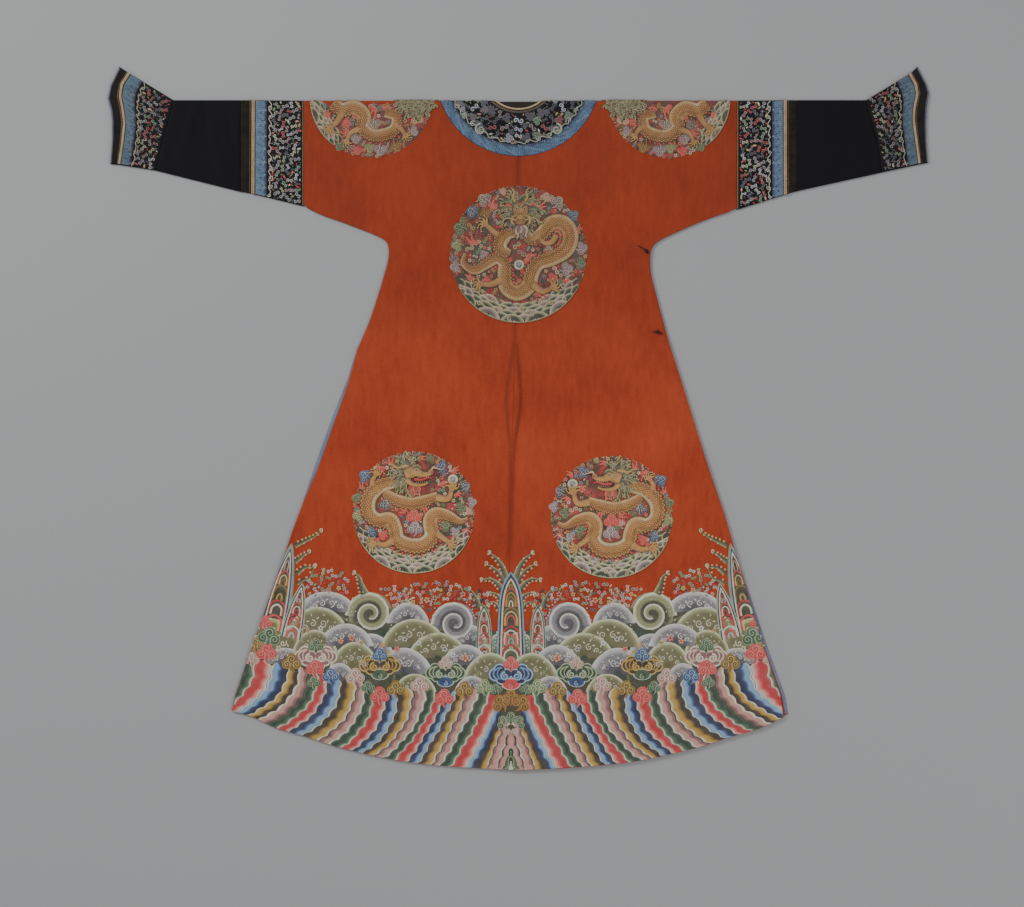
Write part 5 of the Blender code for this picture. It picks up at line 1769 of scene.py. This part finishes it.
def lay_roundel(work, key, kind, radius):
    round_ground(work, radius - 0.6, -4.0 if kind == "shoulder" else radius)
    taken = []
    if kind == "back":
        wave_band(work, radius, 207, 333, 19, 3, taken)
        trunk(work, BACK_TRUNK, widths(10, 15, 17, 17, 16, 17, 16, 14, 10, 4), 9, taken)
        limb(work, [(-9, 13), (-22, 20), (-33, 30)], 20, taken)
        limb(work, [(38, 19), (33, 12), (26, 11), (20, 17)], 20, taken, 0.8)
        limb(work, [(14, -30), (24, -37), (34, -33)], 20, taken)
        limb(work, [(-16, -25), (-27, -30), (-38, -30)], 20, taken)
        trunk(work, [(-3, 21), (-11, 20), (-18, 13), (-17, 4), (-8, 1)], widths(9, 14, 16, 15, 7), 19, taken)
        taken += [(2, 44, 22), (2, 30, 16), (0.5, -10.6, 7)]
        front_head(work, 2, 42, 26)
        pearl(work, 0.5, -10.6, 5.4, 14)
    elif kind == "side":
        wave_band(work, radius, 200, 337, 17, 3, taken)
        trunk(work, SIDE_TRUNK, widths(11, 15, 17, 16, 16, 16, 17, 17, 15, 11, 4), 9, taken)
        trunk(work, [(-30, 20), (-16, 12), (-2, 9), (12, 12), (24, 17)], widths(9, 13, 14, 13, 8), 7, taken)
        limb(work, [(22, 15), (34, 14), (38, 24)], 20, taken)
        limb(work, [(-34, 20), (-42, 30), (-38, 38)], 20, taken, 0.8)
        limb(work, [(-16, -24), (-28, -32), (-40, -31)], 20, taken)
        limb(work, [(15, -14), (27, -24), (36, -30)], 20, taken)
        taken += [(3, 36, 19), (-12, 40, 14), (38.5, 33, 6)]
        side_head(work, 2, 36, 26)
        pearl(work, 39, 33, 5.4, 14)
    else:
        wave_band(work, radius, 184, 232, 15, 3, taken)
        trunk(work, SHOULDER_TRUNK, widths(15, 16, 16, 15, 14, 14, 12, 10), 9, taken)
        limb(work, [(-28, -14), (-33, -24), (-40, -31)], 20, taken)
        limb(work, [(24, -28), (30, -32), (34, -38)], 20, taken, 0.8)
        limb(work, [(-10, -32), (-20, -36), (-24, -44)], 20, taken, 0.8)
        locks(work, 44, 0, 4, 22, 3.3, 6.1, 12, "moss olive slate green", 4.2, 16)
        mane(work, 44, 1, 2, 23, 3.15, 6.2, 90, 23)
        taken += [(44, -6, 18)]
    for u, v, long, turn in ROUND_FLAMES[kind]:
        flame(work, u, v, long, turn)
        taken.append((*away_from(u, v, 0.45 * long, turn), long * 0.34))
    for u, v, size, palette, turn in ROUND_CLOUDS[kind]:
        work.cloud(u, v, size, palette, 13, turn)
        taken.append((u, v, size * 0.95))
    top = -8.0 if kind == "shoulder" else radius

    def inside(u, v, size):
        return math.hypot(u, v) < radius - size * 0.8 and v < top

    fill_gaps(work, inside, (-radius, radius, -radius, top), taken, 4, key, ROUND_SIZES, snug=0.66)
    for i in range(RIM_KNOTS):
        angle = 2 * math.pi * i / RIM_KNOTS
        u = (radius - 0.5 - 1.2 * ((i * 0.618) % 1)) * math.cos(angle)
        v = (radius - 0.5) * math.sin(angle)
        if v < top and not math.radians(200) < angle < math.radians(337):
            work.knot(u, v, 0.7, RIM_DYES[i % 7], 3, angle + 1.57 + 0.4 * math.sin(i), 1.5)


roundels, scales, knot_gold = {}, {}, floss_material("couched gold", 0.0006, 0.42, 0.4, 0.25)
for key, (name, (kind, heart, radius)) in enumerate(ROUND_HEARTS.items()):
    work = Needlework(on_silk, ROUND_TONES[kind], heart, -1 if name.startswith("right") else 1)
    lay_roundel(work, key, kind, radius)
    roundels[name] = work.made("roundel_" + name, floss)
    scales[name] = knots_made("roundel_stitches_" + name, [work], knot_gold)

# The sleeve bands, the cuffs and the collar: dark satin worked in floss, with a border of small
# waves, a line of curling foam and a field of scrolling clouds and flowers.
def on_sleeve(edges):
    """The place of a stitch on a sleeve's upper face, round its folded edges too."""

    def lay(x, y, rise):
        low, high = edges(abs(x))
        for edge, way in ((low + FOLD_RADIUS, -1), (high - FOLD_RADIUS, 1)):
            past = (y - edge) * way
            if past > 0:
                angle = min(past / FOLD_RADIUS, 1.1)
                reach = FOLD_RADIUS + rise
                y = edge + way * reach * math.sin(angle)
                return Vector((x, y, FOLD_RADIUS + reach * math.cos(angle)))
        return Vector((x, y, TWO_LAYERS + sleeve_rise(x, y) + rise))

    return lay


def on_collar(x, y, rise):
    """The place of a stitch on the collar, from the middle of its ring, y towards the neck's front."""
    return over_the_fold(x, -y - NECK_FORWARD, rise)


TRIM_TONES = named_table("armhole 0.86 0.86 0.90, cuff 0.56 0.55 0.56, border 0.8 0.8 0.9, strip 0.8 0.8 0.8")


def sleeve_work(side, near, far):
    """Needlework on a sleeve piece, and the square at a share of its length and of its height."""
    joins = SLEEVE_JOINS[side]

    def edges(x):
        ends = []
        for at in (0, -1):
            (x0, y0), (x1, y1) = joins[near][at], joins[far][at]
            ends.append(mix(y0, y1, clamp((x - x0) / (x1 - x0), 0.0, 1.0)))
        return ends

    def place(s, t):
        x, y = sleeve_place(side, near, far, s, mix(0.008, 0.992, t))
        return x / SQUARE, y / SQUARE

    return Needlework(on_sleeve(edges), TRIM_TONES[near], flip=SIGN[side]), place


def ripple_band(work, place, low, high, dyes, level, waves, sway=0.12, count=8):
    """A border of floss shaded from side to side, whose colours run in small waves."""
    rows, run, last, dyes = [], 0.0, None, dyes.split()
    for t in steps_between(0.0, 1.0, 1 / (waves * count)):
        middle = place((low + high) / 2, t)
        run += math.dist(last, middle) * SQUARE if last else 0.0
        last = middle
        row = [(*place(low, t), -SINK, dyes[0], run)]
        for k, dye in enumerate(dyes):
            share = (k + 0.4) / len(dyes)
            bend = sway * math.sin(2 * math.pi * t * waves) * math.sin(math.pi * share)
            spot = place(mix(low, high, clamp(share + bend, 0.02, 0.98)), t)
            row.append((*spot, level * LEVEL + 0.0005, dye, run))
        row.append((*place(high, t), -SINK, dyes[-1], run))
        rows.append(row)
    work.strips(rows)


def streaks(work, place, low, high, count, dyes, size, stretch, level):
    """Single stitches scattered over a stretch, in turn in each of some dyes."""
    for i in range(count):
        s, t = mix(low, high, (i * 0.5698) % 1), mix(0.02, 0.98, (i * 0.7549) % 1)
        (u0, v0), (u1, v1) = place(s, t), place(s + 0.01, t)
        turn = math.atan2(v1 - v0, u1 - u0) + 0.4 * math.sin(i)
        work.knot(u0, v0, size, dyes[i % len(dyes)], level, turn, stretch)


def foam_line(work, place, s, level, count, size):
    """An uneven line of pale foam that curls over at every crest."""
    points = []
    for i in range(count * 4 + 1):
        t = i / (count * 4)
        u, v = place(s, t)
        a, b = place(s - 0.02, t), place(s + 0.02, t)
        out = -size * (0.36 + 0.16 * math.sin(5 * i)) * abs(math.sin(math.pi * t * count)) / math.dist(a, b)
        points.append((u + (b[0] - a[0]) * out, v + (b[1] - a[1]) * out))
    for i, spot in enumerate(points[1::4]):
        shades = f"slate cream:-0.3 {'foam' if i % 3 else 'pearl'}:0.5 pine"
        radius = size * (0.36 + 0.12 * math.sin(7 * i))
        work.spiral(*spot, radius, 1.4, radius * 0.4, shades, level + 2, 2.4 * i, 1 if i % 2 else -1)
    work.ribbon(points, size * 0.15, "slate cream foam", level, 0.0004, 1.0)


BORDER_DYES = "navy navy steel azure steel azure steel azure steel azure steel"
TRIM_PALETTES = "white white ash lilac green wine white taupe ash jade wine".split()
COLLAR_PALETTES = "taupe ash taupe ash wine taupe grey ash green".split()
# sizes of what fills a field, and how often each is tried
TRIM_SIZES = table("""
    3.8 900, 3.05 2600, 1.9 1800, 1.2 3000
""")
COLLAR_SIZES = ((4.6, 900), (3.6, 1600), (3.05, 2000), (1.9, 3000), (1.2, 4000))
BLUES = "azure navy sky steel blue mist navy".split()
FLECKS = "white pearl lilac coral celadon white sky".split()


def border(work, place, low, high, level, waves):
    """The blue border: small waves of floss under fine pale lines that cross it."""
    ripple_band(work, place, low, high, BORDER_DYES, level, waves, 0.05, 6)
    for i in range(waves * 2):
        t = (i + 0.5) / (waves * 2)
        inner, shares = mix(low, high, 0.30 if i % 3 else 0.12), (0.0, 0.33, 0.66, 0.97)
        line = [place(mix(inner, high, share), t + 0.002 * math.sin(9 * share + i)) for share in shares]
        work.ribbon(line, 0.45, "azure mist", level + 7, 0.0002, raw=True)


SLEEVE_FIELDS = (
    # piece, its joins, shares of its length: field, foam, border; how many waves
    ("embroidered_band", "armhole", "strip", (0.04, 0.61), 0.665, (0.70, 0.925), 22),
    ("horseshoe_cuff", "cuff", "border", (0.05, 0.60), 0.655, (0.69, 0.955), 20),
)
trims, trim_works = {}, []
for side in SIDES:
    for name, near, far, field, foam, blue, waves in SLEEVE_FIELDS:
        work, place = sleeve_work(side, near, far)
        border(work, place, *blue, 2, waves)
        streaks(work, place, blue[0] + 0.02, blue[1] - 0.02, 90, BLUES, 0.45, 3.4, 8)
        foam_line(work, place, foam, 10, waves // 2, 6.0)
        if near == "armhole":
            ripple_band(work, place, 0.005, 0.03, "gold bark umber", 2, 3, 0.0)
        corners = [place(s, t) for s in field for t in (0.0, 1.0)]
        box = [end(spot[k] for spot in corners) for k in (0, 1) for end in (min, max)]
        edge_a, edge_b = [[place(s, t) for t in steps_between(0.0, 1.0, 0.05)] for s in field]

        def inside(u, v, size):
            a, b = [table_value([(y, x) for x, y in edge], v) for edge in (edge_a, edge_b)]
            low, high = [mix(edge_a[i][1], edge_b[i][1], clamp((u - a) / (b - a), 0, 1)) for i in (0, -1)]
            return low + size * 0.6 < v < high - size * 0.6 and a + size * 0.9 < u < b - size * 0.7

        seed = 11 + len(trim_works)
        fill_gaps(work, inside, box, [], 3, seed, TRIM_SIZES, TRIM_PALETTES, (Needlework.scroll,), 0.54)
        streaks(work, place, field[0] + 0.04, field[1], 70, FLECKS, 0.42, 1.6, 9)
        trim_works.append(work)
        trims[name, side] = work.made(f"{name}_floss_{side}", floss)
    work, place = sleeve_work(side, "border", "opening")
    ripple_band(work, place, 0.84, 0.995, "navy dusk dusk", 2, 3, 0.0)
    ripple_band(work, place, 0.06, 0.22, "bark umber", 2, 3, 0.0)
    trims["cuff_edge", side] = work.made("cuff_rim_" + side, floss)
    work, place = sleeve_work(side, "strip", "plain")
    ripple_band(work, place, 0.03, 0.15, "bark umber", 2, 3, 0.0)
    trims["brown_strip", side] = work.made("brown_line_" + side, floss)

collar_work = Needlework(on_collar, (0.60, 0.66, 0.77))
trim_works.append(collar_work)


def on_ring(s, t):
    """A square on the back of the collar: s out from its inner rim, t from one shoulder to the other."""
    radius = mix(NECK_RADIUS, COLLAR_RADIUS - 0.0001, s) / SQUARE
    angle = mix(-1.30, 1.30, t)
    return radius * math.sin(angle), -radius * math.cos(angle)


border(collar_work, on_ring, 0.745, 1.0, 2, 48)
streaks(collar_work, on_ring, 0.76, 0.985, 460, BLUES, 0.5, 3.4, 8)
ripple_band(collar_work, on_ring, 0.004, 0.06, "umber bark bark umber", 2, 3, 0.0)
foam_line(collar_work, on_ring, 0.735, 10, 15, 7.0)
for way in (-1, 1):
    shades = "slate cream:-0.3 foam:0.5 pine"
    collar_work.spiral(way * 38, -56, 6.2, 1.5, 2.4, shades, 14, math.pi / 2, -way)
taken = []
# place of the right one of a pair, size, palette, turn
COLLAR_MOTIFS = table("""
    0 -47 5.4 lilac 0.0, 0 -56 4.6 lilac 0.0, 0 -62.5 4.2 pink 3.14, 14 -54 5.0 taupe -0.6,
    26 -54 4.4 wine -0.4, 34 -45 4.6 ash -0.6, 44 -34 5.0 lilac -0.9, 50 -23 4.0 grey -1.2
""")
for u, v, size, palette, turn in COLLAR_MOTIFS:
    for way in (-1, 1) if u else (1,):
        collar_work.scroll(way * u, v, size, palette, 6, way * turn)
        taken.append((way * u, v, size * 1.1))


def in_collar(u, v, size):
    inner = NECK_RADIUS / SQUARE + 2.5 + size
    outer = mix(NECK_RADIUS, COLLAR_RADIUS, 0.72) / SQUARE - size * 0.8
    return inner < math.hypot(u, v) < outer and v < -22 - size


motifs = (Needlework.cloud, Needlework.scroll)
ring_box = (-72, 72, -72, -20)
fill_gaps(collar_work, in_collar, ring_box, taken, 3, 21, COLLAR_SIZES, COLLAR_PALETTES, motifs, 0.55)
collar_floss = collar_work.made("collar_floss", floss)
trim_stitches = knots_made("trim_stitches", trim_works, knot_silk)


# Cords: a twisted gold cord beside each sleeve band and cuff, and the two dark loops at the
# wearer's right side that hold the flap's knots. Each is three strands laid round one another.
def vector_maths(tree, operation, inputs):
    return node_in(tree, "ShaderNodeVectorMath", inputs, operation=operation).outputs[0]


def cord_tree():
    """Three strands twisted round a path."""
    sockets = {"Strand": ("Float", 0.0006), "Pitch": ("Float", 0.006), "Step": ("Float", 0.0012)}
    tree, start, end = geometry_tree("twisted cord", **sockets)
    path = node_in(tree, "GeometryNodeMeshToCurve", {"Mesh": start["Geometry"]}).outputs["Curve"]
    cut = {"Curve": path, "Length": start["Step"]}
    even = node_in(tree, "GeometryNodeResampleCurve", cut, mode="LENGTH").outputs["Curve"]
    along = node_in(tree, "GeometryNodeSplineParameter").outputs["Length"]
    normal = node_in(tree, "GeometryNodeInputNormal").outputs[0]
    tangent = node_in(tree, "GeometryNodeInputTangent").outputs[0]
    across = vector_maths(tree, "CROSS_PRODUCT", {0: tangent, 1: normal})
    turns = maths(tree, "DIVIDE", along, start["Pitch"])
    thick = named_value(tree, "thick", "FLOAT")
    reach = maths(tree, "MULTIPLY", maths(tree, "MULTIPLY", start["Strand"], thick), 1.1)
    circle = {"Resolution": 5, "Radius": start["Strand"]}
    ring = node_in(tree, "GeometryNodeCurvePrimitiveCircle", circle).outputs["Curve"]
    joined = tree.nodes.new("GeometryNodeJoinGeometry")
    for strand in range(3):
        angle = maths(tree, "MULTIPLY", maths(tree, "ADD", turns, strand / 3), 2 * math.pi)
        arms = []
        for wave, direction in (("COSINE", normal), ("SINE", across)):
            far = maths(tree, "MULTIPLY", maths(tree, wave, angle), reach)
            arms.append(vector_maths(tree, "SCALE", {0: direction, "Scale": far}))
        moved = {"Geometry": even, "Offset": vector_maths(tree, "ADD", dict(enumerate(arms)))}
        line = node_in(tree, "GeometryNodeSetPosition", moved).outputs["Geometry"]
        tube = {"Curve": line, "Profile Curve": ring, "Scale": thick, "Fill Caps": True}
        feed(tree, joined.inputs["Geometry"], node_in(tree, "GeometryNodeCurveToMesh", tube).outputs["Mesh"])
    return end_tree(tree, joined.outputs[0], start, end)


CORD_TREE = cord_tree()


def cord(name, lines, strand, material, thick=None):
    """Twisted cords down one or more lines of points, with a share of the full thickness at each."""
    mesh = bpy.data.meshes.new(name)
    points, edges = [], []
    for line in lines:
        edges += [(len(points) + i, len(points) + i + 1) for i in range(len(line) - 1)]
        points += line
    mesh.from_pydata(points, edges, [])
    write_values(mesh, "thick", "FLOAT", thick or [1.0] * len(points))
    piece = finished(name, mesh, material, False)
    sizes = {"Strand": strand, "Pitch": strand * 10, "Step": strand * 2.3}
    set_inputs(piece.modifiers.new("cord", "NODES"), CORD_TREE, **sizes, Material=material)
    plain_mesh(piece)
    lay_out_flat(piece)
    return piece


LOOPS = (
    # thin end, end at the robe's side edge, share of its length where its knot is
    ("loop_upper", (0.2550, 0.3668), (0.2770, 0.3515), 0.85),
    ("loop_lower", (0.2850, 0.1835), (0.3060, 0.1805), 0.60),
)
LOOP_RADIUS = (0.0012, 0.0022)
STRAND_SHARE = 0.48
WRAP_TURNS = 3
WRAP_LENGTH = 0.0046
WRAP_THICK = 0.62
loop_cord = cloth_material("loop cord", (40, 26, 18), (74, 50, 34), 0.6, 0.0006, 1.0, 0.1, 60.0)
loops = {}
for name, start, end, knot_share in LOOPS:
    line, thick = [], []
    for t in steps_between(0.0, 1.0, 0.1):
        radius = mix(*LOOP_RADIUS, t)
        x, y = between(start, end, t)
        y += 0.002 * math.sin(math.pi * t)
        line.append(Vector((x, y, silk_top(x, y) + SEAM + radius)))
        thick.append(radius / LOOP_RADIUS[1])
    wrap, middle = [], line[round(knot_share * 10)]
    ahead = (line[-1] - line[0]).normalized()
    across = ahead.cross(Vector((0.0, 0.0, 1.0)))
    for t in steps_between(0.0, 1.0, 0.02):
        angle, bulge = 2 * math.pi * WRAP_TURNS * t, 0.0022 + 0.0012 * math.sin(math.pi * t)
        raised = Vector((0.0, 0.0, 0.0009 + bulge * math.sin(angle)))
        wrap.append(middle + ahead * (WRAP_LENGTH * (t - 0.5)) + across * bulge * math.cos(angle) + raised)
    thick += [WRAP_THICK] * len(wrap)
    strand = LOOP_RADIUS[1] * STRAND_SHARE
    loops[name] = cord(name.replace("loop", "cord_loop"), [line, wrap], strand, loop_cord, thick)

# joins of the piece that a cord lies on, share of its length
PIPINGS = table("""
    armhole strip 0.944, armhole strip 0.976, cuff border 0.974, cuff border 0.994
""")
PIPE_STRAND = 0.0010
pipings = {}
for side in SIDES:
    lines = []
    for near, far, s in PIPINGS:
        work, place = sleeve_work(side, near, far)
        spots = [work.spot(*place(s, t)) for t in steps_between(0.0, 1.0, 0.03)]
        lines.append([work.lay(x, y, 2 * PIPE_STRAND) for x, y in spots])
    pipings[side] = cord("sleeve_cords_" + side, lines, PIPE_STRAND, gold_braid)

# How the pieces go with the imported robe: each rides on the root body and hides the part it replaces.
def settle(piece, finish, node=None, cut=None, parts=()):
    """Hangs a piece on the root body and hides the imported part it replaces; its finish, cut and parts are
    not used.
    """
    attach(piece, "root")
    if node:
        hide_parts(node)
    if cut:
        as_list(parts)


sewn_on = {"left": [], "right": [hem_middle, hem_knots]}
for side, parts in sewn_on.items():
    parts += [hem[part, side] for part in HEM_PARTS]
    for name in (side, side + "_shoulder"):
        parts += [roundels[name], scales[name]]
sewn_on["right"] += [roundels["back"], scales["back"]]
settle(silk["left"], "silk", "body_left", (0.615, 2.850), sewn_on["left"])
settle(silk["right"], "silk", "body_right", (0.575, 2.850), sewn_on["right"])
settle(flap, "silk", "front_flap", (0.575, 1.190))
settle(collar, "embroidered_satin", "collar", (0.352, 0.352), [collar_floss, neck_cord])
settle(linings["left"], "lining", "lining_left", (0.024, 0.350))
settle(linings["right"], "lining", "lining_right", (0.024, 0.330))
settle(neck_cord, "gold_braid", "neck_binding")
settle(facing, "dark_satin", "neck_facing")
for (name, side), piece in sleeves.items():
    node, _, _, _, finish, width, length = SLEEVE_PIECES[name]
    parts = [pipings[side]] if name == "brown_strip" else []
    if name not in ("brown_strip", "black_sleeve"):
        parts = [trims[name, side]]
    settle(piece, finish, node + side, (width, length), parts)
for name, piece in loops.items():
    settle(piece, "cord", name)
for piece in pipings.values():
    settle(piece, "gold_braid")
for piece in (*trims.values(), collar_floss, trim_stitches):
    settle(piece, "embroidered_satin")
for piece in (hem_middle, hem_knots, *roundels.values(), *scales.values(), *hem.values()):
    settle(piece, "silk")

# The table that the robe lies on, soft light from above and the camera over its middle.
VIEW_WIDTH = 2.18112
CAMERA_HEIGHT = 6.0
SENSOR = 36.0
FLOOR_CORNERS = ((-6, -6, -0.0004), (6, -6, -0.0004), (6, 6, -0.0004), (-6, 6, -0.0004))
floor_mesh = bpy.data.meshes.new("floor")
floor_mesh.from_pydata(FLOOR_CORNERS, [], [(0, 1, 2, 3)])
floor_material, floor_tree, _ = new_material("floor")
for slot, value in {"Base Color": (0.355, 0.355, 0.355), "Roughness": 0.9}.items():
    feed(floor_tree, floor_tree.nodes["Principled BSDF"].inputs[slot], value)
floor = finished("floor", floor_mesh, floor_material, False)
floor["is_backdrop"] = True

world = bpy.data.worlds.new("studio")
world.use_nodes = True
for slot, value in {"Color": (0.95, 0.97, 1.0), "Strength": 0.55}.items():
    feed(world.node_tree, world.node_tree.nodes["Background"].inputs[slot], value)
bpy.context.scene.world = world
LAMP_AIM = Vector((0, -0.1, 0))


def soft_lamp(name, place, power, size):
    lamp = bpy.data.lights.new(name, "AREA")
    lamp.energy = power
    lamp.size = size
    holder = bpy.data.objects.new(name, lamp)
    holder.location = place
    holder.rotation_euler = (LAMP_AIM - Vector(place)).to_track_quat("-Z", "Y").to_euler()
    bpy.context.scene.collection.objects.link(holder)


soft_lamp("key_lamp", (-3.0, 2.6, 3.2), 114.0, 1.4)
soft_lamp("fill_lamp", (2.6, -1.0, 3.4), 45.0, 2.5)

camera_data = bpy.data.cameras.new("camera")
camera_data.sensor_width = SENSOR
camera_data.lens = SENSOR * CAMERA_HEIGHT / VIEW_WIDTH
camera = bpy.data.objects.new("camera", camera_data)
camera.location = (-0.013845, -0.07455, CAMERA_HEIGHT)
bpy.context.scene.collection.objects.link(camera)
bpy.context.scene.camera = camera

low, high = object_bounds()
